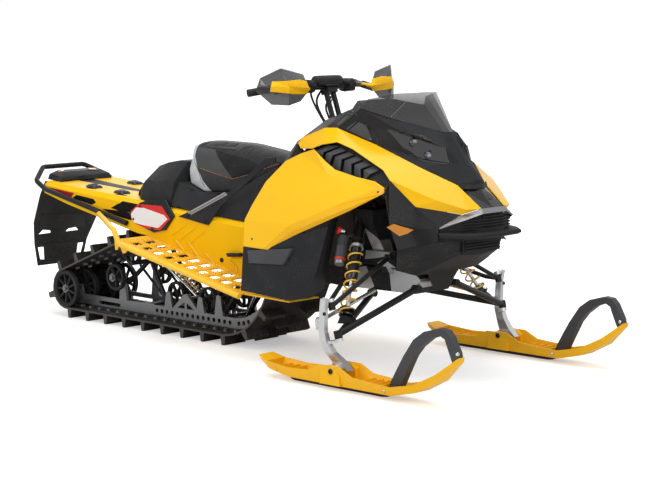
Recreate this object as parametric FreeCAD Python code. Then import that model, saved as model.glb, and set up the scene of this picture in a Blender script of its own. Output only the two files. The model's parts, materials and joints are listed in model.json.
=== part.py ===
import FreeCAD, Part
import math
import os

V = FreeCAD.Vector

# Snowmobile, millimetres. X forward from the ski bolts, Y to the left, Z up from the ground.
# The finished solids are shifted at the end, so that the origin is the middle of the footprint.

# Skis and steering
ski_stance = 1081.0
ski_half_width = 66.0
ski_wall = 5.0
ski_bolt_height = 81.0
ski_bolt_radius = 8.0
ski_tail_x = -441.0
ski_tip_x = 656.0
ski_tip_height = 212.0
ski_floor_height = 22.0
keel_width = 12.0
loop_width = 34.0
running_fit = 0.05
seat_gap = 0.3
kingpin_low = (-12.0, 532.0, 206.0)
kingpin_high = (-50.0, 540.0, 354.0)
lug_radius = 16.0
lug_thickness = 14.0
ball_housing_radius = 17.0
ball_housing_height = 34.0
column_y = 570.0
tie_rod_radius = 9.0
tie_rod_inner = (-130.0, 190.0, 357.0)
knob_back = 115.0
knob_rise = 34.0
knob_radius = 13.0
knob_boss_top = 12.0
rod_eye_length = 18.0
rod_pin_radius = 5.0
rod_nut_height = 6.0

# Front suspension
arm_tube_radius = 14.0
upper_arm_radius = 10.0
shock_body_radius = 23.0
shock_rod_radius = 8.0
front_spring_radius = 28.0
front_spring_wire = 6.0
front_spring_turns = 7
shock_top = (-187.0, 210.0, 674.0)
shock_foot = (-60.0, 440.0, 283.0)
reservoir_radius = 20.0
reservoir_top = (-205.0, 300.0, 600.0)
reservoir_length = 92.0
arm_pivot_length = 36.0
lower_front_pivot = (52.0, 374.0)
lower_rear_pivot = (-205.0, 330.0)
upper_front_pivot = (-47.0, 506.0)
upper_rear_pivot = (-235.0, 478.0)
frame_half = 108.0
beam_half = 176.0

# Track and skid frame
track_width = 406.0
track_pitch = 72.6
belt_thickness = 9.0
lug_height = 44.0
lug_base = 30.0
lug_crown = 18.0
rear_wheel_radius = 95.0
rear_wheel_x = -2286.0
bow_radius = 330.0
bow_x = -1110.0
sprocket_radius = 92.0
sprocket_pair_y = 75.0
sprocket_x = -842.0
sprocket_height = 398.0
carrier_radius = 62.0
carrier_x = -1800.0
carrier_height = 372.0
rail_spacing = 210.0
rail_thickness = 14.0
rail_height = 50.0
shoe_height = 13.0
shoe_width = 34.0
axle_radius = 11.0
wheel_gap = 2.0
outboard_y = 152.0
inboard_y = 54.0
idler_places = ((-1934.0, 236.0, 66.0, outboard_y), (-1585.0, 178.0, 60.0, inboard_y),
                (-1350.0, 174.0, 60.0, inboard_y), (-1219.0, 195.0, 60.0, inboard_y))
idler_axle = 10.0
rail_hole = 20.0
rail_hole_pitch = 38.0
frame_foot_x = -1456.0
frame_bar_height = 168.0
skid_bar_radius = 12.0
spring_strut_y = 7.0
skid_spring_radius = 19.0
rear_arm_low = (-1600.0, 100.0)
rear_arm_top = (-1740.0, 330.0)
front_arm_low = (-1225.0, 100.0)
front_arm_top = (-1010.0, 352.0)
front_strut_low = (-1150.0, 100.0)

# Tunnel and running boards
tunnel_half_width = 219.0
tunnel_wall = 4.0
rib_height = 2.5
tunnel_rear_x = -2420.0
tunnel_rear_top = 694.0
tunnel_front_x = -640.0
tunnel_front_top = 570.0
board_outer = 430.0
board_front = (-440.0, 300.0)
board_knee = (-726.0, 306.0)
board_rear = (-1600.0, 478.0)
board_thickness = 6.0
board_rail_radius = 13.0
bumper_radius = 13.0
board_end_x = -1925.0
bumper_front = (-1745.0, 528.0)
bumper_rear = (-2398.0, 656.0)
flap_thickness = 6.0
lamp_x = -2400.0
anchor_x = (-2120.0, -1900.0)
anchor_y = 132.0
anchor_height = 16.0
anchor_bore = 12.0

# Bodywork
skin_wall = 5.0
panel_gap = 0.6
sliver_volume = 600.0
cap_depth = 7.5

# Handlebar
bar_height = 1208.0
bar_x = -588.0
bar_radius = 11.1
bar_half_width = 392.0
bar_sweep = 98.0
bar_drop = 16.0
grip_radius = 17.0
grip_length = 128.0
post_tilt = 20.0
post_length = 215.0
post_tube_radius = 12.0
post_tube_spread = 44.0
post_stub = 64.0
bearing_radius = 26.0
engine_drop = 206.0
foot_block_half = 16.0
console_hole_radius = 46.0
guard_wall = 4.0
guard_outline = ((76.0, 196.0, 0.0), (73.0, 228.0, 65.0), (58.0, 350.0, 93.0), (-12.0, 408.0, 52.0),
                 (-37.0, 412.0, -4.0), (40.0, 390.0, -63.0), (80.0, 322.0, -68.0), (78.0, 250.0, -53.0),
                 (78.0, 212.0, -20.0))
guard_crest = ((94.0, 215.0, 4.0), (88.0, 330.0, 14.0), (28.0, 404.0, 14.0))

parts = {}


# Plain helpers

def vec(p):
    return V(p[0], p[1], p[2])


def box(x0, x1, y0, y1, z0, z1):
    return Part.makeBox(x1 - x0, y1 - y0, z1 - z0, V(x0, y0, z0))


def rod(p, q, radius):
    return Part.makeCylinder(radius, (vec(q) - vec(p)).Length, vec(p), vec(q) - vec(p))


def cross_bar(x, z, y0, y1, radius):
    return Part.makeCylinder(radius, y1 - y0, V(x, y0, z), V(0, 1, 0))


def ring(x, z, y0, y1, outer, inner):
    return cross_bar(x, z, y0, y1, outer).cut(cross_bar(x, z, y0 - 1, y1 + 1, inner))


def mirrored(shape):
    return shape.mirror(V(0, 0, 0), V(0, 1, 0))


def both(shape):
    return Part.makeCompound([shape, mirrored(shape)])


def fuse(shapes):
    joined = shapes[0].multiFuse(shapes[1:]) if len(shapes) > 1 else shapes[0]
    return joined.removeSplitter()


def plate_y(outline, y0, y1):
    """A plate whose outline lies in the side view, from y0 to y1."""
    points = [V(x, y0, z) for x, z in outline]
    face = Part.Face(Part.makePolygon(points + points[:1]))
    return face.extrude(V(0, y1 - y0, 0))


def plate_z(outline, z0, z1):
    """A plate whose outline lies in the plan, from z0 to z1."""
    points = [V(x, y, z0) for x, y in outline]
    face = Part.Face(Part.makePolygon(points + points[:1]))
    return face.extrude(V(0, 0, z1 - z0))


def plate_x(outline, x0, x1):
    """A plate whose outline lies in the front view, from x0 to x1."""
    points = [V(x0, y, z) for y, z in outline]
    face = Part.Face(Part.makePolygon(points + points[:1]))
    return face.extrude(V(x1 - x0, 0, 0))


def pipe(points, radius, bend):
    """A round bar through the points, with an arc of radius bend at each corner."""
    pts = [vec(p) for p in points]
    edges = []
    start = pts[0]
    for before, corner, after in zip(pts, pts[1:], pts[2:]):
        back = (before - corner).normalize()
        ahead = (after - corner).normalize()
        half = back.getAngle(ahead) / 2
        reach = bend / math.tan(half)
        tangent_in = corner + back * reach
        tangent_out = corner + ahead * reach
        middle = (back + ahead).normalize()
        peak = corner + middle * (bend / math.sin(half) - bend)
        edges.append(Part.LineSegment(start, tangent_in).toShape())
        edges.append(Part.Arc(tangent_in, peak, tangent_out).toShape())
        start = tangent_out
    edges.append(Part.LineSegment(start, pts[-1]).toShape())
    path = Part.Wire(edges)
    circle = Part.Wire([Part.makeCircle(radius, pts[0], pts[1] - pts[0])])
    return path.makePipeShell([circle], True, False)


def loft(sections):
    wires = [Part.makePolygon([vec(p) for p in s] + [vec(s[0])]) for s in sections]
    return Part.makeLoft(wires, True, True)


def triangle(a, b, c):
    return Part.Face(Part.makePolygon([a, b, c, a]))


def key(p):
    return (round(p.x, 3), round(p.y, 3), round(p.z, 3))


def skin(facets, wall=skin_wall, gap=panel_gap):
    """A moulded panel: facets of corner points seen from outside, drawn back from its
    split lines by half the gap, with the wall laid inside."""
    triangles = []
    for facet in facets:
        for second, third in zip(facet[1:], facet[2:]):
            triangles.append((vec(facet[0]), vec(second), vec(third)))
    normals = {}
    edge_use = {}
    for a, b, c in triangles:
        normal = (b - a).cross(c - a).normalize()
        for p in (a, b, c):
            normals.setdefault(key(p), []).append(normal)
        for p, q in ((a, b), (b, c), (c, a)):
            edge_use[(key(p), key(q))] = normal
    rim = [e for e in edge_use if (e[1], e[0]) not in edge_use]
    draw = {}
    for start, end in rim:
        along = (V(*end) - V(*start)).normalize()
        inward = edge_use[(start, end)].cross(along)
        draw.setdefault(start, []).append(inward)
        draw.setdefault(end, []).append(inward)
    outer, inner = {}, {}
    for spot, around in normals.items():
        normal = V(0, 0, 0)
        for one in around:
            normal += one
        normal.normalize()
        lean = max(0.5, min(normal.dot(one) for one in around))
        place = V(*spot)
        if spot in draw and spot[1] != 0:
            pull = V(0, 0, 0)
            for one in draw[spot]:
                pull += one
            pull.normalize()
            share = max(0.4, min(pull.dot(one) for one in draw[spot]))
            place += pull * (gap / 2 / share)
        outer[spot] = place
        depth = normal * (wall / lean)
        if spot[1] == 0:
            depth = V(depth.x, 0, depth.z)
        inner[spot] = place - depth
    faces = []
    for a, b, c in triangles:
        ka, kb, kc = key(a), key(b), key(c)
        faces.append(triangle(outer[ka], outer[kb], outer[kc]))
        faces.append(triangle(inner[ka], inner[kc], inner[kb]))
    for start, end in rim:
        faces.append(triangle(outer[end], outer[start], inner[start]))
        faces.append(triangle(outer[end], inner[start], inner[end]))
    solid = Part.makeSolid(Part.makeShell(faces))
    if solid.Volume < 0:
        solid.reverse()
    return solid.removeSplitter()


def right(point):
    return (point[0], -point[1], point[2])


def pair_skin(facets, wall=skin_wall, gap=panel_gap):
    """The same moulded panel on the right and on the left; widths count outwards."""
    panel = skin([[right(p) for p in f] for f in facets], wall, gap)
    return both(panel)


def middle_skin(facets, wall=skin_wall, gap=panel_gap):
    """A moulded panel that crosses the centre line, given by its right half."""
    half = [[right(p) for p in f] for f in facets]
    other = [[p for p in reversed(f)] for f in facets]
    return skin(half + other, wall, gap)


def belt_path(circles):
    """Straight runs and arcs of a belt round the circles, in order, as small pieces."""
    count = len(circles)
    tangents = []
    for i in range(count):
        x0, z0, r0 = circles[i]
        x1, z1, r1 = circles[(i + 1) % count]
        span = math.hypot(x1 - x0, z1 - z0)
        heading = math.atan2(z1 - z0, x1 - x0)
        lean = math.asin((r0 - r1) / span)
        normal = heading - math.pi / 2 + lean
        tangents.append(normal)
    pieces = []
    for i in range(count):
        x0, z0, r0 = circles[i]
        turn_in = tangents[i - 1]
        turn_out = tangents[i]
        while turn_out < turn_in:
            turn_out += 2 * math.pi
        pieces.append(("arc", x0, z0, r0, turn_in, turn_out))
        x1, z1, r1 = circles[(i + 1) % count]
        a = (x0 + r0 * math.cos(turn_out), z0 + r0 * math.sin(turn_out))
        b = (x1 + r1 * math.cos(turn_out), z1 + r1 * math.sin(turn_out))
        pieces.append(("run", a, b, turn_out))
    return pieces


def piece_length(piece):
    if piece[0] == "arc":
        return piece[3] * (piece[5] - piece[4])
    return math.hypot(piece[2][0] - piece[1][0], piece[2][1] - piece[1][1])


def belt_point(pieces, distance, lift):
    """Point of the belt at a distance along it, lifted outwards."""
    for piece in pieces:
        length = piece_length(piece)
        if distance <= length:
            break
        distance -= length
    if piece[0] == "arc":
        angle = piece[4] + distance / piece[3]
        x = piece[1] + (piece[3] + lift) * math.cos(angle)
        z = piece[2] + (piece[3] + lift) * math.sin(angle)
        return (x, z)
    share = distance / length
    x = piece[1][0] + (piece[2][0] - piece[1][0]) * share + lift * math.cos(piece[3])
    z = piece[1][1] + (piece[2][1] - piece[1][1]) * share + lift * math.sin(piece[3])
    return (x, z)


def post_axis():
    tilt = math.radians(post_tilt)
    return V(-math.sin(tilt), 0, math.cos(tilt))


def post_foot():
    return V(bar_x, 0, bar_height) - post_axis() * post_length


# Places that follow from the driving dimensions
ski_y = ski_stance / 2
belt_inner = lug_height + belt_thickness
rear_wheel_height = belt_inner + rear_wheel_radius
bow_height = belt_inner + bow_radius
track_half = track_width / 2
rail_y = rail_spacing / 2
bumper_side = tunnel_half_width + bumper_radius + seat_gap


def tunnel_top(x):
    share = (x - tunnel_front_x) / (tunnel_rear_x - tunnel_front_x)
    return tunnel_front_top + (tunnel_rear_top - tunnel_front_top) * share


def board_height(x):
    if x > board_knee[0]:
        a, b = board_front, board_knee
    else:
        a, b = board_knee, board_rear
    return a[1] + (b[1] - a[1]) * (x - a[0]) / (b[0] - a[0])


# Track: one belt with its lugs and the skid frame inside it

def build_track():
    circles = [
        (rear_wheel_x, rear_wheel_height, rear_wheel_radius),
        (bow_x, bow_height, bow_radius),
        (sprocket_x, sprocket_height, sprocket_radius),
        (carrier_x, carrier_height, carrier_radius),
    ]
    pieces = belt_path(circles)
    total = sum(piece_length(p) for p in pieces)
    count = 2 * int(round(total / track_pitch / 2))
    pitch = total / count
    paddle = ((-lug_base / 2, belt_thickness), (-lug_crown / 2, belt_inner),
              (lug_crown / 2, belt_inner), (lug_base / 2, belt_thickness))

    def band(y0, y1, first, inside):
        outline = []
        for i in range(count):
            steps = paddle if i % 2 == first else ((0, belt_thickness),)
            for step, lift in steps + ((pitch / 2, belt_thickness),):
                outline.append(belt_point(pieces, (i * pitch + step) % total, lift))
        points = [V(x, y0, z) for x, z in outline]
        outer = Part.Face(Part.makePolygon(points + points[:1]))
        outer = outer.extrude(V(0, y1 - y0, 0))
        return outer.cut(inside)

    ring_points = []
    for i in range(count):
        for step in (0, pitch / 3, 2 * pitch / 3):
            x, z = belt_point(pieces, (i * pitch + step) % total, 0)
            ring_points.append(V(x, -track_half - 1, z))
    hollow = Part.Face(Part.makePolygon(ring_points + ring_points[:1]))
    hollow = hollow.extrude(V(0, track_width + 2, 0))
    inner_third = track_width / 6
    bands = [
        band(-track_half, -inner_third, 0, hollow),
        band(-inner_third, inner_third, 1, hollow),
        band(inner_third, track_half, 0, hollow),
    ]
    parts["track"] = fuse(bands)


def rail_outline(low, high, rear_x, front_turn):
    """Side outline of a rail that lies on the belt and follows the bow at the front."""
    outline = [(rear_x, belt_inner + low), (bow_x, belt_inner + low)]
    steps = 5
    for i in range(1, steps + 1):
        angle = -math.pi / 2 + front_turn * i / steps
        reach = bow_radius - low
        outline.append((bow_x + reach * math.cos(angle), bow_height + reach * math.sin(angle)))
    for i in range(steps, 0, -1):
        angle = -math.pi / 2 + front_turn * i / steps
        reach = bow_radius - high
        outline.append((bow_x + reach * math.cos(angle), bow_height + reach * math.sin(angle)))
    outline.append((bow_x, belt_inner + high))
    outline.append((rear_x, belt_inner + high))
    return outline


def rounded_hole(x, z):
    """A square lightening hole with rounded corners, through one rail."""
    hole = box(x - rail_hole, x, rail_y - rail_thickness, rail_y + rail_thickness, z, z + rail_hole)
    edges = [e for e in hole.Edges if abs(e.Vertexes[0].Y - e.Vertexes[1].Y) > 1]
    return hole.makeFillet(rail_hole * 0.3, edges)


def build_skid():
    front_turn = math.radians(44)
    rail_top = shoe_height + rail_height
    outline = rail_outline(shoe_height, rail_top, rear_wheel_x - 30, front_turn)
    rail = plate_y(outline, rail_y - rail_thickness / 2, rail_y + rail_thickness / 2)
    holes = []
    hole_low = belt_inner + shoe_height + (rail_height - rail_hole) / 2
    for i in range(15):
        holes.append(rounded_hole(bow_x - (i + 0.5) * rail_hole_pitch, hole_low))
    for i in range(1, 4):
        hole = rounded_hole(bow_x + rail_hole / 2, hole_low)
        hole.rotate(V(bow_x, 0, bow_height), V(0, 1, 0), -math.degrees(i * rail_hole_pitch / bow_radius))
        holes.append(hole)
    rear_slot = box(rear_wheel_x + 160, rear_wheel_x + 330, rail_y - 20, rail_y + 20,
                    belt_inner + rail_top - 40, belt_inner + rail_top - 22)
    foot_x = frame_foot_x
    top = belt_inner + rail_top
    frame = plate_y([(foot_x - 100, top - 4), (foot_x - 14, frame_bar_height + 24),
                     (foot_x + 14, frame_bar_height + 24), (foot_x + 100, top - 4)],
                    rail_y - rail_thickness / 2, rail_y + rail_thickness / 2)
    for side in (-1, 1):
        holes.append(plate_y([(foot_x + side * 8, top + 6), (foot_x + side * 62, top + 6),
                              (foot_x + side * 8, top + 36)], rail_y - 20, rail_y + 20))
    brackets = [frame]
    for x, z in [(p[0], p[1]) for p in idler_places] + [(rear_wheel_x, rear_wheel_height)]:
        brackets.append(plate_y([(x - 30, top - 4), (x - 14, z + 14), (x + 14, z + 14), (x + 30, top - 4)],
                                rail_y - rail_thickness / 2, rail_y + rail_thickness / 2))
    holes.append(cross_bar(rear_wheel_x, rear_wheel_height, 0, rail_y * 2, axle_radius + running_fit))
    rail = fuse([rail] + brackets).cut(Part.makeCompound(holes + [rear_slot]))
    tip_angle = -math.pi / 2 + front_turn * 0.8
    tip_reach = bow_radius - (shoe_height + rail_height / 2)
    tip_x = bow_x + tip_reach * math.cos(tip_angle)
    tip_z = bow_height + tip_reach * math.sin(tip_angle)
    spacer_y = rail_y - rail_thickness / 2
    spacers = []
    for x, z in ((tip_x, tip_z), (rear_wheel_x + 420, top - 28), (foot_x, frame_bar_height),
                 front_strut_low):
        spacers.append(cross_bar(x, z, -spacer_y, spacer_y, axle_radius))
    parts["skid_rails"] = fuse([rail, mirrored(rail)] + spacers)
    shoe = plate_y(rail_outline(0.2, shoe_height, rear_wheel_x + rear_wheel_radius + 20, front_turn),
                   rail_y - shoe_width / 2, rail_y + shoe_width / 2)
    parts["slider_shoes"] = both(shoe)


def wheel(x, z, y, radius, width, bore, spokes):
    """A moulded wheel: rim, hub and spokes."""
    rim_depth = radius * 0.2
    hub = bore + 9
    pieces = [ring(x, z, y - width / 2, y + width / 2, radius, radius - rim_depth),
              ring(x, z, y - width / 2, y + width / 2, hub, bore)]
    for i in range(spokes):
        angle = 2 * math.pi * i / spokes + 0.3
        spoke = box(hub - 3, radius - rim_depth + 3, -width * 0.3, width * 0.3, -5, 5)
        spoke.rotate(V(0, 0, 0), V(0, 1, 0), math.degrees(angle))
        spoke.translate(V(x, y, z))
        pieces.append(spoke)
    return fuse(pieces)


def build_wheels():
    rim = rear_wheel_radius - wheel_gap
    wheels = []
    for y in (191.0, 66.0):
        one = wheel(rear_wheel_x, rear_wheel_height, y, rim, 22.0, axle_radius, 9)
        wheels += [one, mirrored(one)]
    wheels.append(cross_bar(rear_wheel_x, rear_wheel_height, -196, 196, axle_radius))
    parts["rear_wheels"] = fuse(wheels)
    idlers = []
    wheel_width = 22.0
    for x, z, idler_radius, y in idler_places:
        if y > rail_y:
            ends = (rail_y + rail_thickness / 2 + seat_gap, y + wheel_width / 2)
        else:
            ends = (y - wheel_width / 2, rail_y - rail_thickness / 2 - seat_gap)
        one = fuse([wheel(x, z, y, idler_radius, wheel_width, idler_axle, 5),
                    cross_bar(x, z, ends[0], ends[1], idler_axle)])
        idlers += [one, mirrored(one)]
    carrier = wheel(carrier_x, carrier_height, outboard_y, carrier_radius - wheel_gap, wheel_width,
                    idler_axle, 5)
    carrier_axle = cross_bar(carrier_x, carrier_height, -tunnel_half_width + tunnel_wall,
                             tunnel_half_width - tunnel_wall, idler_axle)
    idlers.append(fuse([carrier, mirrored(carrier), carrier_axle]))
    parts["idler_wheels"] = Part.makeCompound(idlers)
    sprockets = [cross_bar(sprocket_x, sprocket_height, -tunnel_half_width + tunnel_wall,
                           tunnel_half_width - tunnel_wall, 16.0)]
    for y in (-sprocket_pair_y, sprocket_pair_y):
        sprockets.append(cross_bar(sprocket_x, sprocket_height, y - 20, y + 20,
                                   sprocket_radius - 14))
    parts["drive_axle"] = fuse(sprockets)


def build_skid_arms():
    """Two swing arms between the rails and the tunnel, each with its strut."""
    arm_radius = 11.0
    rail_face = rail_y - rail_thickness / 2 - seat_gap
    arm_y = rail_face - arm_radius - 1
    wall_face = tunnel_half_width - tunnel_wall
    arms = []
    for low, top in ((rear_arm_low, rear_arm_top), (front_arm_low, front_arm_top)):
        pieces = [rod((low[0], y, low[1]), (top[0], y, top[1]), arm_radius) for y in (-arm_y, arm_y)]
        pieces.append(cross_bar(low[0], low[1], -rail_face, rail_face, skid_bar_radius))
        pieces.append(cross_bar(top[0], top[1], -wall_face, wall_face, skid_bar_radius))
        arms.append(fuse(pieces))
    parts["skid_arms"] = Part.makeCompound(arms)
    struts = []
    frame_bar = (frame_foot_x, frame_bar_height)
    for low, high, y, radius, share in ((frame_bar, rear_arm_top, -30.0, 10.0, 0.72),
                                        (frame_bar, rear_arm_top, spring_strut_y, 12.0, 0.5),
                                        (front_strut_low, front_arm_top, 0.0, 20.0, 0.5)):
        base = V(low[0], y, low[1])
        axis = V(high[0], y, high[1]) - base
        length = axis.Length
        axis.normalize()
        start = axle_radius + seat_gap
        end = length - skid_bar_radius - seat_gap
        pieces = [Part.makeCylinder(7.0, end - start, base + axis * start, axis),
                  Part.makeCylinder(radius, end - length * share, base + axis * (length * share), axis)]
        if y == spring_strut_y:
            perch = 5.0
            for reach in (start + 20, end - 20 - perch):
                pieces.append(Part.makeCylinder(skid_spring_radius + 4, perch, base + axis * reach, axis))
            spring_start = start + 20 + perch + seat_gap
            parts["skid_spring"] = coil(base + axis * spring_start, axis, skid_spring_radius, 5.0, 9,
                                        end - 20 - perch - seat_gap - spring_start)
        struts.append(fuse(pieces))
    parts["skid_shocks"] = Part.makeCompound(struts)


# Tunnel, running boards, bumper and flap

def build_tunnel():
    length_x = [tunnel_rear_x, tunnel_front_x]
    side_foot = [board_height(-1600) + 10, board_height(-760) - 4]

    def channel(half, drop, side_low):
        sections = []
        for x, low in zip(length_x, (tunnel_top(tunnel_rear_x) - 60, side_low)):
            top = tunnel_top(x) - drop
            sections.append([(x, -half, low), (x, -half, top - 22), (x, -half + 22, top),
                             (x, half - 22, top), (x, half, top - 22), (x, half, low)])
        return loft(sections)

    outline = [(tunnel_rear_x, tunnel_rear_top - 70), (-1680, board_height(-1600) + 6),
               (-1600, board_height(-1600)), (board_knee[0], board_knee[1]),
               (tunnel_front_x, board_knee[1] + 2), (tunnel_front_x, tunnel_front_top + 40),
               (tunnel_rear_x, tunnel_rear_top + 40)]
    shell = channel(tunnel_half_width, 0, 200)
    hollow = channel(tunnel_half_width - tunnel_wall, tunnel_wall, 190)
    hollow = hollow.fuse(box(tunnel_rear_x - 1, tunnel_front_x + 1, -tunnel_half_width + tunnel_wall,
                             tunnel_half_width - tunnel_wall, 100, 400))
    side_view = plate_y(outline, -tunnel_half_width - 5, tunnel_half_width + 5)
    ribs = []
    for low, high in (((-1440.0, 494.0), (-1331.0, 553.0)), ((-1374.0, 479.0), (-1252.0, 551.0)),
                      ((-1308.0, 466.0), (-1201.0, 531.0))):
        rib = plate_y([(low[0] - 17, low[1] + 2), (low[0] + 17, low[1] - 2), (high[0] + 17, high[1]),
                       (high[0] - 17, high[1])], -tunnel_half_width - rib_height, -tunnel_half_width + 1)
        ribs += [rib, mirrored(rib)]
    parts["tunnel"] = fuse([shell.common(side_view).cut(hollow)] + ribs)
    boards = []
    inner = tunnel_half_width + seat_gap
    tread = []
    for x0, x1, outer in ((board_front[0], board_knee[0], board_outer - 30),
                          (board_knee[0], board_rear[0], board_outer - 10)):
        outline = [(x0, board_height(x0)), (x1, board_height(x1)),
                   (x1, board_height(x1) - board_thickness), (x0, board_height(x0) - board_thickness)]
        tread.append(plate_y(outline, -outer, -inner))
    tread = fuse(tread)
    holes = []
    hole_step = 78.0
    for i in range(10):
        x = board_knee[0] - 60 - i * hole_step
        z = board_height(x)
        for y0, y1 in ((-board_outer + 38, -board_outer + 98), (-board_outer + 116, -inner - 22)):
            holes.append(box(x - 46, x, y0, y1, z - 40, z + 40))
    tread = tread.cut(Part.makeCompound(holes))
    drop = board_rail_radius * 0.8
    turn_x = board_rear[0] + 40
    edge = pipe([(board_knee[0], -board_outer, board_knee[1] - drop),
                 (turn_x, -board_outer, board_height(turn_x) - drop),
                 (board_rear[0] - 10, -board_outer + 8, board_rear[1] + 46),
                 (board_end_x, -bumper_side - 2 * bumper_radius - seat_gap, bumper_height(board_end_x))],
                board_rail_radius, 40)
    foot = plate_y([(turn_x - 36, board_rear[1] + 4), (turn_x - 30, 430), (turn_x - 16, 430),
                    (turn_x - 2, 460), (turn_x + 26, 418), (turn_x + 42, 420), (turn_x + 78, 452)],
                   -board_outer, -board_outer + 6)
    foot = foot.cut(plate_y([(turn_x + 6, 462), (turn_x + 22, 462), (turn_x + 40, 440), (turn_x + 28, 436)],
                            -board_outer - 1, -board_outer + 7))
    board = fuse([tread, edge, foot])
    parts["running_boards"] = both(board)


def bumper_height(x):
    """Height of the rear grab tube beside the tunnel."""
    return bumper_front[1] + (bumper_rear[1] - bumper_front[1]) * (bumper_front[0] - x) / (
        bumper_front[0] - bumper_rear[0])


def build_rear():
    side_y = bumper_side
    rear_top = tunnel_rear_top + 60
    side_run = [(bumper_front[0], -side_y, bumper_front[1]), (bumper_rear[0], -side_y, bumper_rear[1]),
                (-2470, -side_y, 694), (-2545, -132, rear_top)]
    bumper = pipe(side_run + [(x, -y, z) for x, y, z in reversed(side_run)], bumper_radius, 40)
    parts["rear_bumper"] = bumper
    sections = []
    for x, half, z in ((tunnel_rear_x - seat_gap, 210, tunnel_rear_top - 1), (-2462, 214, 620),
                       (-2535, 206, 470), (-2580, 172, 350), (-2592, 146, 232)):
        sections.append([(x, -half, z), (x, half, z), (x - flap_thickness, half, z),
                         (x - flap_thickness, -half, z)])
    flap = loft(sections)
    slots = []
    for side in (-1, 1):
        for outline in ([(56, 436), (140, 432), (126, 458), (68, 462)],
                        [(104, 262), (132, 266), (150, 330), (112, 330)]):
            slots.append(plate_x([(side * y, z) for y, z in outline], -2640, -2440))
    parts["snow_flap"] = flap.cut(Part.makeCompound(slots))
    lamp_base = tunnel_top(lamp_x) + seat_gap
    lamp = loft([[(lamp_x - 62, -168, lamp_base), (lamp_x + 52, -168, lamp_base),
                  (lamp_x + 52, 168, lamp_base), (lamp_x - 62, 168, lamp_base)],
                 [(lamp_x - 58, -160, lamp_base + 30), (lamp_x + 44, -160, lamp_base + 24),
                  (lamp_x + 44, 160, lamp_base + 24), (lamp_x - 58, 160, lamp_base + 30)],
                 [(lamp_x - 40, -120, lamp_base + 48), (lamp_x + 10, -120, lamp_base + 46),
                  (lamp_x + 10, 120, lamp_base + 46), (lamp_x - 40, 120, lamp_base + 48)]])
    parts["tail_light"] = on_tunnel(lamp, lamp_x)
    lens = box(lamp_x - 66, lamp_x - 56, 44, 150, lamp_base + 6, lamp_base + 28)
    parts["tail_lenses"] = on_tunnel(both(lens), lamp_x)
    anchors = []
    for x in anchor_x:
        z = tunnel_top(x) + seat_gap
        anchor = loft([[(x - 40, -34, z), (x + 40, -34, z), (x + 40, 34, z), (x - 40, 34, z)],
                       [(x - 24, -24, z + anchor_height), (x + 24, -24, z + anchor_height),
                        (x + 24, 24, z + anchor_height), (x - 24, 24, z + anchor_height)]])
        hole = Part.makeCylinder(anchor_bore, anchor_height * 2, V(x, 0, z - 5))
        anchor = on_tunnel(anchor.cut(hole), x)
        anchor.translate(V(0, -anchor_y, 0))
        anchors += [anchor, mirrored(anchor)]
    parts["cargo_anchors"] = Part.makeCompound(anchors)
    plate = [(-1583, 652), (-1456, 661), (-1395, 587), (-1460, 516), (-1549, 497), (-1691, 532),
             (-1735, 577), (-1648, 635)]
    side_face = -tunnel_half_width - seat_gap
    parts["side_plates"] = both(plate_y(plate, side_face - 8, side_face))


def on_tunnel(shape, x):
    """Tilts a piece that was built level about its seat at x, so it lies on the sloping tunnel."""
    slope = math.degrees(math.atan2(tunnel_rear_top - tunnel_front_top, tunnel_front_x - tunnel_rear_x))
    shape.rotate(V(x, 0, tunnel_top(x)), V(0, 1, 0), slope)
    return shape


# Seat and the covers round it

def seat_line(x):
    """Height of the joint between the seat and what carries it."""
    stations = ((-1450, 742), (-1290, 702), (-1080, 716), (-900, 796), (-790, 852))
    for (x0, z0), (x1, z1) in zip(stations, stations[1:]):
        if x <= x1:
            break
    return z0 + (z1 - z0) * (x - x0) / (x1 - x0)


def build_seat():
    sections = []
    for x, half_low, half_mid, half_top, rise, z1 in (
            (-1446.0, 84.0, 92.0, 60.0, 64.0, 908.0), (-1410.0, 112.0, 122.0, 84.0, 60.0, 926.0),
            (-1290.0, 134.0, 148.0, 92.0, 62.0, 929.0), (-1080.0, 142.0, 156.0, 94.0, 70.0, 926.0),
            (-900.0, 124.0, 134.0, 84.0, 46.0, 907.0), (-792.0, 104.0, 108.0, 70.0, 18.0, 886.0)):
        z0 = seat_line(x) + seat_gap
        sections.append([(x, -half_low, z0), (x, -half_mid, z0 + rise), (x, -half_top, z1 - 8),
                         (x, -half_top * 0.5, z1), (x, half_top * 0.5, z1), (x, half_top, z1 - 8),
                         (x, half_mid, z0 + rise), (x, half_low, z0)])
    parts["seat"] = loft(sections)
    sections = []
    for x, half_low, half_mid, half_top, z1 in (
            (-1830, 86, 84, 80, 668), (-1690, 186, 160, 62, 802), (-1600, 204, 176, 84, 824),
            (-1500, 206, 178, 90, 840), (-1450.6, 206, 178, 88, 836)):
        z0 = tunnel_top(x) + seat_gap
        middle = z0 + (z1 - z0) * 0.55
        sections.append([(x, -half_low, z0), (x, -half_mid, middle), (x, -half_top, z1),
                         (x, half_top, z1), (x, half_mid, middle), (x, half_low, z0)])
    parts["rear_cover"] = loft(sections)
    sections = []
    for x, half_low, half_top in ((-1450, 206, 150), (-1290, 206, 150), (-1080, 204, 152),
                                  (-900, 200, 140), (-790, 196, 124)):
        z0 = tunnel_top(x) + seat_gap
        z1 = seat_line(x)
        sections.append([(x, -half_low, z0), (x, -half_top, z1), (x, half_top, z1), (x, half_low, z0)])
    parts["fuel_tank"] = loft(sections)
    face = -tunnel_half_width - seat_gap
    brace = plate_y([(-1365, 588), (-1158, 562), (-1060, 660), (-760, 860), (-700, 880), (-700, 900),
                     (-760, 895), (-1024, 716)], face - 8, face)
    parts["seat_braces"] = both(brace)


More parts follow.
